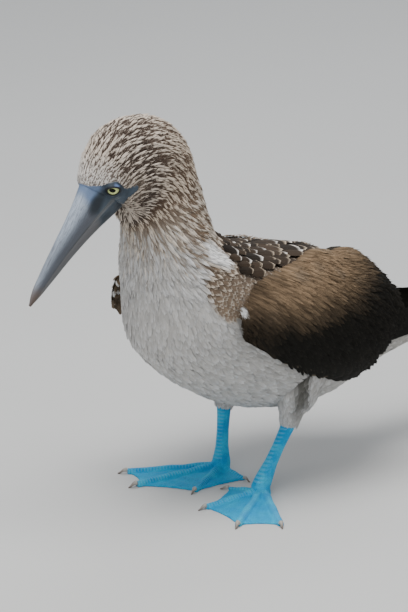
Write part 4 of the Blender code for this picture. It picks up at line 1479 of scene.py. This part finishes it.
def make_wing(side):
    word = WORDS[side]
    rng = np.random.default_rng(50)
    rings = wing_rings(side)
    bed = loft(f"wing_{word}_bed", on_side(side, rings), BED_PAINT)
    own = np.concatenate((rings.reshape(-1, 3), rings[0].mean(0)[None], rings[-1].mean(0)[None]))
    store(bed, "base", wing_marks(own, np.full(len(own), 0.5))["base"], "FLOAT_VECTOR")
    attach(bed, "root")
    if side < 0:
        bend_feathers(on_side(side, rings[:16]))
    plumes = Plumes(f"wing_{word}_flight_feathers")
    add_rim_feathers(plumes, side, rng)
    add_quills(plumes, side, rng)
    flight = plumes.piece(WING_PAINT, "wing_feathers")
    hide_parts(f"wing_{word}")
    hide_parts(f"wing_{word}")
    wing_coverts(side, rng)


BEND_SPOT_HEIGHTS = (157.0, 165.0, 173.5)


def bend_feathers(rings):
    """Small brown feathers over the right wing's bend, with a few white ones among them."""
    rng = np.random.default_rng(71)
    middle = rings[:1].mean(axis=1, keepdims=True)
    nose = middle + (rings[:1] - middle) * 0.35 + np.array((0.0, -1.2, 0.0))
    grid = np.concatenate((nose, rings))
    at, out, _, row, col = spots_on(grid, BEND_TRIES, rng)
    y, z = at[:, 1], at[:, 2]
    count = len(at)
    base = blend(ramp(-1.0, 1.0, ripple(at, 5.0, 72)), BEND_DARK, BEND_LIGHT)
    marks = {"base": base, "edge": base * 1.5, "fringe": np.full(count, 0.16),
             "length": np.full(count, 6.0), "wide": np.full(count, 2.3)}
    for spot in BEND_SPOT_HEIGHTS:
        white = 1 - ramp(1.1, 1.9, np.hypot(z - spot, 0.22 * (y - rings[0, :, 1].mean() - 3.0)))
        dye(marks, "bend_spots", white * ramp(-72.0, -70.0, at[:, 0]))
    index = scatter(at, np.full(count, 1.25), 73)
    way = np.tile(np.array((-0.15, 0.45, -1.0)), (len(index), 1))
    roots = lay(at[index] - out[index] * 0.2, out[index], way, chosen(marks, index), 12.0, 74)
    roots["root_map"] = bake_place(col[index] / grid.shape[1], row[index] / grid.shape[0])
    vane = small_vane("bend_vane", BODY_VANE, 0.05, 0.09)
    grow_coat("wing_right_bend_feathers", roots, vane, WING_PAINT)


def bed_paint():
    """Dull down where the long feathers are rooted."""
    paint = Paint("feather_bed")
    noise = paint.noise(400.0, 3.0)
    colour = paint.scaled(paint.colour("base"), 0.35 + noise * 0.5)
    return paint.finish(colour, 0.9, paint.bump(noise, 0.4), Specular_IOR_Level=0.1)


def drape(shell, start, way, length, lift, rows):
    """A path laid over a surface from a start, with its outward directions."""
    point, path, outs = np.array(start, float), [], []
    steps = np.diff(np.concatenate(([0.0], rows))) * length
    direction = unit(np.array(way, float))
    for step, t in zip(steps, rows):
        point = point + direction * step
        near, normal, _, _ = shell.find_nearest(Vector(point))
        out = np.array(normal)
        if outs:
            out = unit(out * 0.5 + outs[-1] * 0.5)
        point = np.array(near)
        path.append(point + out * (lift[0] + (lift[1] - lift[0]) * t))
        outs.append(out)
        direction = unit(direction - out * (direction @ out))
    return np.array(path), np.array(outs)


# Each row of scapulars: its y, from aft to front. How far a row reaches to each side, by its y.
SCAPULAR_ROWS = np.arange(58.0, -38.0, -8.6)
SCAPULAR_REACH = ((-43, -14, 4, 24, 46, 60), (55, 46, 39, 30, 21, 15))


def shoulder_feathers():
    """Scapulars: long dark feathers with pale tips over the back and the wings' upper edges."""
    shell = shell_of("torso", "neck", "wing_left", "wing_right")
    plumes = Plumes("scapular_feathers")
    rng = np.random.default_rng(61)
    rows = SHOULDER_VANE[:, 0]
    for step, y in enumerate(SCAPULAR_ROWS):
        age = ramp(-40, 20, y)
        y = y + rng.normal(0, 1.2)
        reach = np.interp(y, *SCAPULAR_REACH)
        across = 5.4 + 5.2 * age
        for x in np.arange(-reach + (step % 2) * across / 2, reach + 1, across):
            start = (x + rng.normal(0, 1.5), y - 14 + rng.normal(0, 3.2), 240.0)
            hit = shell.ray_cast(Vector(start), Vector((0, 0, -1)))
            if hit[0] is None:
                continue
            side = np.sign(x) if abs(x) > 1 else 0.0
            way = np.array((0.16 * side + rng.normal(0, 0.13), 1.0, 0.0))
            grown = 1 + rng.normal(0, 0.16)
            length = (15 + 17 * age) * grown
            path, outs = drape(shell, np.array(hit[0]), way, length, (0.3, 1.9), rows)
            white = rng.random() < 0.12 + 0.30 * age
            marks = {
                "base": blend(rng.random(), SCAPULAR_DARK, SCAPULAR_LIGHT),
                "edge": SCAPULAR_WHITE if white else SCAPULAR_BUFF,
                "fringe": 0.08 + 0.10 * rng.random() if white else 0.05 + 0.05 * rng.random(),
                "tone": rng.random(),
            }
            plumes.add(path, outs, 0.68 * across * grown, marks, SHOULDER_VANE, 0.8)
    plumes.piece(SHOULDER_PAINT, "wing_feathers")


def tail_grid():
    """Points round the tail's root, from the body's end aft."""
    rows, around = 26, 40
    turns = round_turns(around)
    rings = [BODY[-1][np.linspace(0, len(TURNS), around + 1)[:-1].astype(int)]]
    for y, height, wide, thick in np.vstack((TAIL_LINES, TAIL_BED_END)):
        rings.append(np.stack((wide * np.sin(turns), np.full(around, y),
                               height + thick * np.cos(turns)), axis=1))
    rings = np.array(rings)
    knots = np.arange(len(rings), dtype=float)
    fine = follow(knots, rings.reshape(len(rings), -1), np.linspace(0, knots[-1], rows))
    return fine.reshape(rows, around, 3)


def make_tail():
    grid = tail_grid()
    base = loft("tail_base", grid, BED_PAINT)
    greys = np.full((len(base.data.vertices), 3), TAIL_BED_GREY)
    store(base, "base", greys, "FLOAT_VECTOR")
    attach(base, "root")
    plumes = Plumes("tail_long_feathers")
    rng = np.random.default_rng(71)
    t = LONG_VANE[:, 0]
    outs = np.tile(np.array((0.0, 0.0, 1.0)), (len(t), 1))
    for rank in range(TAIL_PAIRS):
        for side in (1, -1):
            spread = rank + 0.5
            tip_y = TAIL_TIP - TAIL_STEP * spread**1.35
            path = np.stack((side * spread * (1.6 + 2.3 * t),
                             TAIL_ROOT + (tip_y - TAIL_ROOT) * t,
                             TAIL_HEIGHT - 4.0 * t - 0.55 * rank - 0.15 * (side < 0)), axis=1)
            marks = {"base": blend(max(0.0, 1 - rank / 2.5), TAIL_OUTER, TAIL_MIDDLE),
                     "edge": TAIL_EDGE, "fringe": 0.05, "tone": rng.random()}
            plumes.add(path, outs, 8.0, marks, camber=0.7)
    vanes = plumes.piece(SHOULDER_PAINT, "tail_feathers")
    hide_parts("tail")
    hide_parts("tail")
    at, out, way, row, col = spots_on(grid, TAIL_TRIES, rng)
    count = len(at)
    above = ramp(-0.3, 0.5, out[:, 2])
    marks = plumage("under_tail", fringe=np.full(count, 0.3), length=np.full(count, 15.0),
                    wide=np.full(count, 6.0))
    dye(marks, "over_tail", above * 0.5, above * 0.7)
    index = scatter(at, np.full(count, 3.6), 72)
    roots = lay(at[index] - out[index] * 1.2, out[index], way[index], chosen(marks, index), 6.0, 73)
    roots["root_map"] = bake_place(col[index] / grid.shape[1], row[index] / grid.shape[0])
    vane = small_vane("tail_covert_vane", BODY_VANE, 0.05, 0.03)
    coverts = grow_coat("tail_coverts", roots, vane, feather_paint("tail_coat", 9.0, soft=0.2))


# Bill


# Halves of the bill: where the rings inside the head lie and how fast they narrow, then the
# groove's place round the half, depth, width and the power by which it fades to the tip.
BILL_HALVES = {
    "upper": ((-0.06, -0.03), 22.0, (0.80, 0.35, 0.07, 3)),
    "lower": ((-0.10, -0.06, -0.03), 11.0, (0.45, 0.18, 0.06, 2)),
}
MOUTH_GAP, TOOTH_DEEP, TOOTH_STEP = 0.1, 0.18, 2.6


def bill_ring(half, share):
    """Points of a ring round half of the bill, and their places on it for the paint."""
    root, along, up = head_axes()
    length = np.linalg.norm(np.array((0.0, *BILL_TIP)) - root)
    upper = half == "upper"
    _, narrowing, (groove_at, groove_deep, groove_wide, fading) = BILL_HALVES[half]
    back, share = min(share, 0.0), max(share, 0.0)
    ridge, mouth, keel, wide = follow(BILL_LINES[:, 0], BILL_LINES[:, 1:], np.array([share]))[0]
    edge, peak = (mouth + MOUTH_GAP, ridge) if upper else (mouth - MOUTH_GAP, keel)
    turn = np.linspace(0, math.pi, 33)
    out, reach = np.cos(turn), np.sin(turn) ** 1.25
    groove = np.exp(-(((reach - groove_at) / groove_wide) ** 2))
    groove = groove_deep * groove * (1 - share**fading)
    sunk = 0.15 - narrowing * back
    x = (wide - sunk) * out - np.sign(out) * groove * min(1.0, wide / 4)
    sunk = sunk * (1 - ramp(0.0, 0.05, share))
    u = edge + (peak - edge - (sunk if upper else -sunk)) * reach
    if upper:
        tooth = TOOTH_DEEP * math.sin(share * length * TOOTH_STEP)
        u[[0, -1]] += tooth * ramp(0.25, 0.5, share) * (share < 0.97)
    flat = np.linspace(1, -1, 9)[1:-1]
    x = np.concatenate((x, -wide * flat))
    u = np.concatenate((u, np.full(len(flat), edge)))
    ring = root + along * length * (share + back) + up * u[:, None]
    ring[:, 0] += x
    places = np.stack((np.full(len(x), share), (u - mouth) / (ridge - mouth + 0.01),
                       x / max(wide, 0.5)), axis=1)
    return ring, places


def make_bill():
    shares = 1 - np.linspace(1, 0, 56) ** 1.25
    finish = bill_paint()
    for half, (inside, _, _) in BILL_HALVES.items():
        rings, places = zip(*(bill_ring(half, share) for share in np.concatenate((inside, shares))))
        bill = loft(f"bill_{half}_horn", rings, finish)
        ends = np.array((places[0].mean(axis=0), places[-1].mean(axis=0)))
        store(bill, "bill_place", np.concatenate((*places, ends)), "FLOAT_VECTOR")
        store_head_place(bill, corners(bill))
        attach(bill, "root")
        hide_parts(f"bill_{half}")


def bill_paint():
    """Pale blue-grey horn out of the slate face, painted lit on the ridge and shaded on the sides,
    greyer below, brown at the tip.
    """
    paint = Paint("bill_horn")
    share, height, _ = paint.parts("bill_place")
    f, u, x = paint.parts("head_place")
    stretched = paint.joined(f * 0.05, height * 7.0, x * 0.7)
    streaks = paint.noise(1.0, 4.0, 0.6, stretched)
    broad = paint.noise(140.0, 3.0)
    fine = paint.noise(1400.0, 2.0)
    lines = paint.noise(1.0, 3.0, 0.6, paint.joined(f * 0.09, height * 19.0, x * 2.0))
    # Painted light from above: a highlight along the ridge, painted shade down the sides.
    ridge = (height + (streaks - 0.5) * 0.5 + (lines - 0.5) * 0.3).ramp(0.36, 0.92)
    horn = paint.mix(share.ramp(0.22, 0.62), HORN_LIT_ROOT, HORN_LIT_TIP)
    colour = paint.mix(ridge, HORN_SHADED_SIDE, horn)
    colour = paint.mix(streaks.ramp(0.48, 0.66) * 0.55, colour, HORN_STREAK)
    colour = paint.mix(lines.ramp(0.52, 0.64) * 0.60, colour, HORN_LINE)
    colour = paint.mix(height.ramp(0.04, -0.04), colour, HORN_LOWER)
    skin = 1.0 - (f + u * 0.55 + (broad - 0.5) * 8.0).ramp(1.0, 12.0)
    colour = paint.mix(skin, colour, bare_skin_colour(paint, f, u, broad))
    colour = lore_shade(paint, colour, f, u)
    seam = 1.0 - abs(height).ramp(0.0, 0.035)
    colour = paint.mix(seam * 0.8 * f.ramp(12.0, 30.0), colour, SEAM_DARK)
    pale_seam = (1.0 - abs(height + 0.02).ramp(0.03, 0.13)) * (1.0 - f.ramp(14.0, 32.0))
    colour = paint.mix(pale_seam * 0.65, colour, SEAM_PALE)
    colour = paint.mix(share.ramp(0.80, 0.94) * 0.80, colour, HORN_BROWN)
    colour = paint.scaled(colour, 0.88 + fine * 0.24)
    normal = paint.bump(streaks * 0.8 + lines * 0.5 + fine * 0.4, 0.10)
    return paint.finish(colour, 0.38 + streaks * 0.15, normal, Specular_IOR_Level=0.45)


# Eyes


def make_eyes():
    finish = eye_paint()
    rows, around = 49, 64
    tilts, turns = np.linspace(0, math.pi, rows), round_turns(around)
    local = np.stack((np.sin(tilts)[:, None] * np.cos(turns)[None, :],
                      np.sin(tilts)[:, None] * np.sin(turns)[None, :],
                      np.cos(tilts)[:, None] * np.ones(around)[None, :]), axis=-1)
    bulge = 1 + 0.045 * (1 - ramp(0.0, 0.62, np.sin(tilts))) * (tilts < 1.5)
    local = (local[1:-1] * bulge[1:-1, None, None]).reshape(-1, 3)
    poles = np.array([[0, 0, 1.0], [0, 0, -1.0]])
    for side in (1, -1):
        centre, look, long_way, short_way = eye_frame(side)
        points = centre + local * EYE_RADIUS @ np.stack((long_way, short_way, look))
        ball = loft(f"eyeball_{WORDS[side]}", points.reshape(rows - 2, around, 3), finish)
        store(ball, "eye_place", np.concatenate((local, poles)), "FLOAT_VECTOR")
        points = corners(ball)
        points[-2] = centre + look * EYE_RADIUS * bulge[0]
        points[-1] = centre - look * EYE_RADIUS
        set_corners(ball, points)
        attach(ball, "root")
        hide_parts(f"eye_{WORDS[side]}")


def eye_paint():
    paint = Paint("eye")
    x, y, _ = paint.parts("eye_place")
    off = ((x - 0.17) ** 2.0 + ((y - 0.10) * 1.55) ** 2.0) ** 0.5
    iris_off = (x ** 2.0 + y ** 2.0) ** 0.5
    spokes = paint.noise(900.0, 3.0)
    iris = paint.mix(iris_off.ramp(0.35, 0.66), IRIS_INNER, IRIS_OUTER)
    iris = paint.scaled(iris, 0.85 + spokes * 0.3)
    ring = 1.0 - abs(off - 0.355).ramp(0.01, 0.05)
    iris = paint.mix(ring * 0.5, iris, IRIS_RING)
    colour = paint.mix(1.0 - off.ramp(0.325, 0.355), iris, PUPIL)
    colour = paint.mix(iris_off.ramp(0.66, 0.71), colour, EYE_SURROUND)
    return paint.finish(colour, 0.08, None, Coat_Weight=0.0, Specular_IOR_Level=0.12)


# Legs and feet


def toe_ways(side):
    ways = {}
    for toe, (angle, _, _) in TOES.items():
        turn = math.radians(-90 + side * (FOOT_TURN[side] + angle))
        ways[toe] = np.array((math.cos(turn), math.sin(turn), 0.0))
    return ways


LEG_GRAIN, LEG_ROUNDS = 0.75 * MM, 7
SHANK_END, SHANK_DROP = 0.0035, 0.002
SCUTE_STEP, SCUTE_DEEP = 2.6, 0.35
BAND_STEP, BAND_DEEP = 3.0, 0.25


def plain_leg(word):
    """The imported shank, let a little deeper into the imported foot, as one even mesh."""
    parts = []
    for node in (f"tarsus_{word}", f"foot_{word}"):
        part = add_object("part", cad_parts[node].data.copy())
        shape = bmesh.new()
        shape.from_mesh(part.data)
        bmesh.ops.remove_doubles(shape, verts=shape.verts, dist=1e-6)
        if node.startswith("tarsus"):
            low = min(v.co.z for v in shape.verts)
            for vert in shape.verts:
                if vert.co.z < low + SHANK_END:
                    vert.co.z -= SHANK_DROP
        shape.to_mesh(part.data)
        shape.free()
        parts.append(part)
    union(*parts)
    leg = parts[0]
    leg.name = leg.data.name = f"leg_{word}"
    remesh = leg.modifiers.new("even", "REMESH")
    remesh.mode = "VOXEL"
    remesh.voxel_size = LEG_GRAIN
    smooth = leg.modifiers.new("soften", "SMOOTH")
    smooth.factor, smooth.iterations = 0.5, LEG_ROUNDS
    apply_modifiers(leg)
    leg.data.shade_smooth()
    return leg


def toe_places(flat, far, ways):
    """Distance of points on the floor from the nearest toe's line, and how far along they lie."""
    nearest, along = np.full(len(flat), FAR), np.zeros(len(flat))
    for way in ways.values():
        run = flat @ way[:2]
        cross = np.abs(flat[:, 0] * way[1] - flat[:, 1] * way[0])
        cross = np.where(run < 0, far, cross)
        closer = cross < nearest
        nearest = np.where(closer, cross, nearest)
        along = np.where(closer, run, along)
    return nearest, along


def detail_leg(leg, root, ways):
    """Folds the webs, and raises scutes on the toes and bands down the shank's front."""
    points, out = corners(leg), out_ways(leg)
    flat = points[:, :2] - root[:2]
    far = np.linalg.norm(flat, axis=1)
    turn = np.arctan2(flat[:, 1], flat[:, 0])
    nearest, along = toe_places(flat, far, ways)
    on_foot = (points[:, 2] < 8.5) & (points[:, 2] > 0.6)
    web = on_foot * ramp(3.2, 6.0, nearest) * ramp(10, 22, far) * (out[:, 2] > 0.3)
    folds = np.sin(far * 0.55 + 5 * turn) * 0.35 + 0.5 * np.sin(turn * 42) * ramp(15, 60, far)
    points = points + np.array((0, 0, 1.0)) * (web * (folds * 0.5 + 0.25))[:, None]
    toes = on_foot * (1 - ramp(2.5, 4.2, nearest)) * ramp(6, 14, far)
    scutes = np.abs(np.sin(along * math.pi / SCUTE_STEP))
    points = points + out * (toes * (scutes - 0.6) * SCUTE_DEEP)[:, None]
    front = (points[:, 2] > 12) * ramp(0.1, 0.7, -out[:, 1])
    bands = np.abs(np.sin(points[:, 2] * math.pi / BAND_STEP))
    points = points + out * (front * (bands - 0.6) * BAND_DEEP)[:, None]
    points[:, 2] = np.maximum(points[:, 2], 0.0)
    set_corners(leg, points)
    store(leg, "web", web)
    store(leg, "scutes", toes * scutes + front * bands)
    store(leg, "plates", np.clip(toes + front, 0, 1))


def make_feet():
    finish = foot_paint()
    for side in (1, -1):
        word = WORDS[side]
        root = np.array((side * LEG_SPREAD, TOE_ROOT[side], 0.0))
        ways = toe_ways(side)
        leg = plain_leg(word)
        detail_leg(leg, root, ways)
        leg.data.materials.clear()
        leg.data.materials.append(finish)
        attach(leg, "root")
        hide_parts(f"tarsus_{word}", f"foot_{word}")
        for toe, (_, length, wide) in TOES.items():
            make_claw(f"claw_{toe}_{word}", root + ways[toe] * (length + 0.3), ways[toe], wide)


def foot_paint():
    paint = Paint("foot_skin")
    web, scutes, plates = paint.number("web"), paint.number("scutes"), paint.number("plates")
    broad = paint.noise(90.0, 3.0)
    fine = paint.noise(1200.0, 2.0)
    small_cells = paint.cells(900.0, "DISTANCE_TO_EDGE")
    cracks = 1.0 - small_cells.ramp(0.0, 0.16)
    colour = paint.mix(broad.ramp(0.3, 0.7), FOOT_DEEP, FOOT_BRIGHT)
    colour = paint.mix(web * 0.60, colour, WEB_BLUE)
    # Painted shade: darker blue in the webs' folds, drawn by noise.
    folds = paint.noise(260.0, 3.0, 0.6)
    colour = paint.mix(web * folds.ramp(0.56, 0.72) * 0.35, colour, WEB_FOLD_SHADE)
    gaps = (1.0 - scutes.ramp(0.05, 0.45)) * plates
    colour = paint.mix((gaps * 0.55).most(cracks * 0.35), colour, FOOT_CRACK)
    pale = scutes.ramp(0.6, 1.0) * plates * 0.35
    colour = paint.mix(pale, colour, SCUTE_PALE)
    colour = paint.scaled(colour, 0.78 - web * 0.12 + fine * 0.30)
    normal = paint.bump(cracks * -1.0 + fine * 0.4, 0.22)
    return paint.finish(colour, 0.48 + broad * 0.2, normal, Specular_IOR_Level=0.22)


def make_claw(node, start, way, wide):
    across = np.array((-way[1], way[0], 0.0))
    turns = round_turns(16)
    shares = np.linspace(0, 1, 11)
    rings = []
    for share in shares:
        half = 0.5 * wide * (1 - 0.85 * share) + 0.2
        centre = start + way * CLAW_LENGTH * share
        height = half + 0.1 + 1.6 * math.sin(math.pi * min(share + 0.25, 1.0))
        rings.append(centre + across * half * np.cos(turns)[:, None]
                     + np.array((0, 0, 1.0)) * (height + half * np.sin(turns))[:, None])
    claw = loft(f"{node}_horn", rings, CLAW_PAINT)
    store(claw, "reach", np.concatenate((np.repeat(shares, len(turns)), (0.0, 1.0))))
    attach(claw, "root")
    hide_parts(node)


def claw_paint():
    paint = Paint("claw_horn")
    reach = paint.number("reach")
    lines = paint.noise(900.0, 3.0)
    colour = paint.mix(reach.ramp(0.1, 0.9), CLAW_ROOT, CLAW_TIP)
    colour = paint.scaled(colour, 0.8 + lines * 0.4)
    return paint.finish(colour, 0.35 + lines * 0.2, paint.bump(lines, 0.06))


# Studio


FLOOR_HALF, FLOOR_TONES = 6.0, ((0.56, 0.56, 0.55), (0.60, 0.60, 0.59))
SKY_COLOUR, SKY_STRENGTH = (0.90, 0.94, 1.0, 1.0), 0.50
LIT_HEIGHT = 0.2

# Lamps: way from the bird, size, power, colour.
LAMPS = {
    "sky": ((0.25, -0.35, 1.7), 1.2, 42.0, (1.0, 0.99, 0.97)),
    "front": ((0.9, -1.7, 0.9), 1.2, 8.0, (1.0, 0.98, 0.95)),
    "rear": ((-1.0, 1.2, 1.3), 0.9, 10.0, (0.94, 0.97, 1.0)),
}


def look_at(thing, back):
    """Turns a lamp or a camera away from a direction."""
    thing.rotation_euler = (-Vector(back)).to_track_quat("-Z", "Y").to_euler()


def make_studio():
    low, high = CAD_BOX
    floor = bpy.data.meshes.new("floor")
    half = FLOOR_HALF
    floor.from_pydata([(-half, -half, 0), (half, -half, 0), (half, half, 0), (-half, half, 0)],
                      [], [(0, 1, 2, 3)])
    paint = Paint("floor")
    floor.materials.append(paint.finish(paint.mix(paint.noise(3.0, 2.0), *FLOOR_TONES), 0.9))
    add_object("floor", floor)
    world = bpy.data.worlds.new("studio")
    world.use_nodes = True
    background = world.node_tree.nodes["Background"]
    background.inputs["Color"].default_value = SKY_COLOUR
    background.inputs["Strength"].default_value = SKY_STRENGTH
    bpy.context.scene.world = world
    middle = Vector(((low[0] + high[0]) / 2, (low[1] + high[1]) / 2, LIT_HEIGHT))
    for name, (way, size, power, tint) in LAMPS.items():
        lamp = bpy.data.lights.new(name, "AREA")
        lamp.energy, lamp.size, lamp.color = power, size, tint
        holder = add_object(name, lamp)
        holder.location = middle + Vector(way)
        look_at(holder, holder.location - middle)


# The camera: where it stands, metres for each pixel, the middle of the picture in pixels to the
# right of the stance's origin and above it, the picture's height in pixels and the film's.
VIEW_AZIMUTH, VIEW_HEIGHT, VIEW_DISTANCE = 48.0, 17.0, 4.5
VIEW_SCALE = 0.00082
VIEW_AIM = (-38.0, 177.0)
PICTURE_TALL = 612
FILM = 36.0


def make_camera():
    a, e = math.radians(VIEW_AZIMUTH), math.radians(VIEW_HEIGHT)
    right = np.array((math.cos(a), math.sin(a), 0.0))
    back = np.array((math.sin(a) * math.cos(e), -math.cos(a) * math.cos(e), math.sin(e)))
    up = np.cross(back, right)
    aim = SHIFT + right * VIEW_AIM[0] * VIEW_SCALE + up * VIEW_AIM[1] * VIEW_SCALE
    lens = bpy.data.cameras.new("camera")
    lens.sensor_fit = "VERTICAL"
    lens.sensor_height = FILM
    lens.lens = FILM * VIEW_DISTANCE / (PICTURE_TALL * VIEW_SCALE)
    lens.clip_end = 50.0
    camera = add_object("camera", lens)
    camera.location = aim + back * VIEW_DISTANCE
    look_at(camera, back)
    bpy.context.scene.camera = camera


make_camera()
make_studio()
WING_PAINT = feather_paint("wing_coat", 11.0, shaft=0.10, rough=0.72, sheen=0.0, soft=0.14,
                           root=0.85, gloss=0.12)
SHOULDER_PAINT = feather_paint("shoulder_coat", 26.0, shaft=0.30, rough=0.72, sheen=0.0,
                               soft=0.11, hem=0.10, gloss=0.12)
BED_PAINT = bed_paint()
CLAW_PAINT = claw_paint()
make_skin()
body_coat()
thigh_coat()
for wing_side in (1, -1):
    make_wing(wing_side)
shoulder_feathers()
make_tail()
make_bill()
make_eyes()
make_feet()
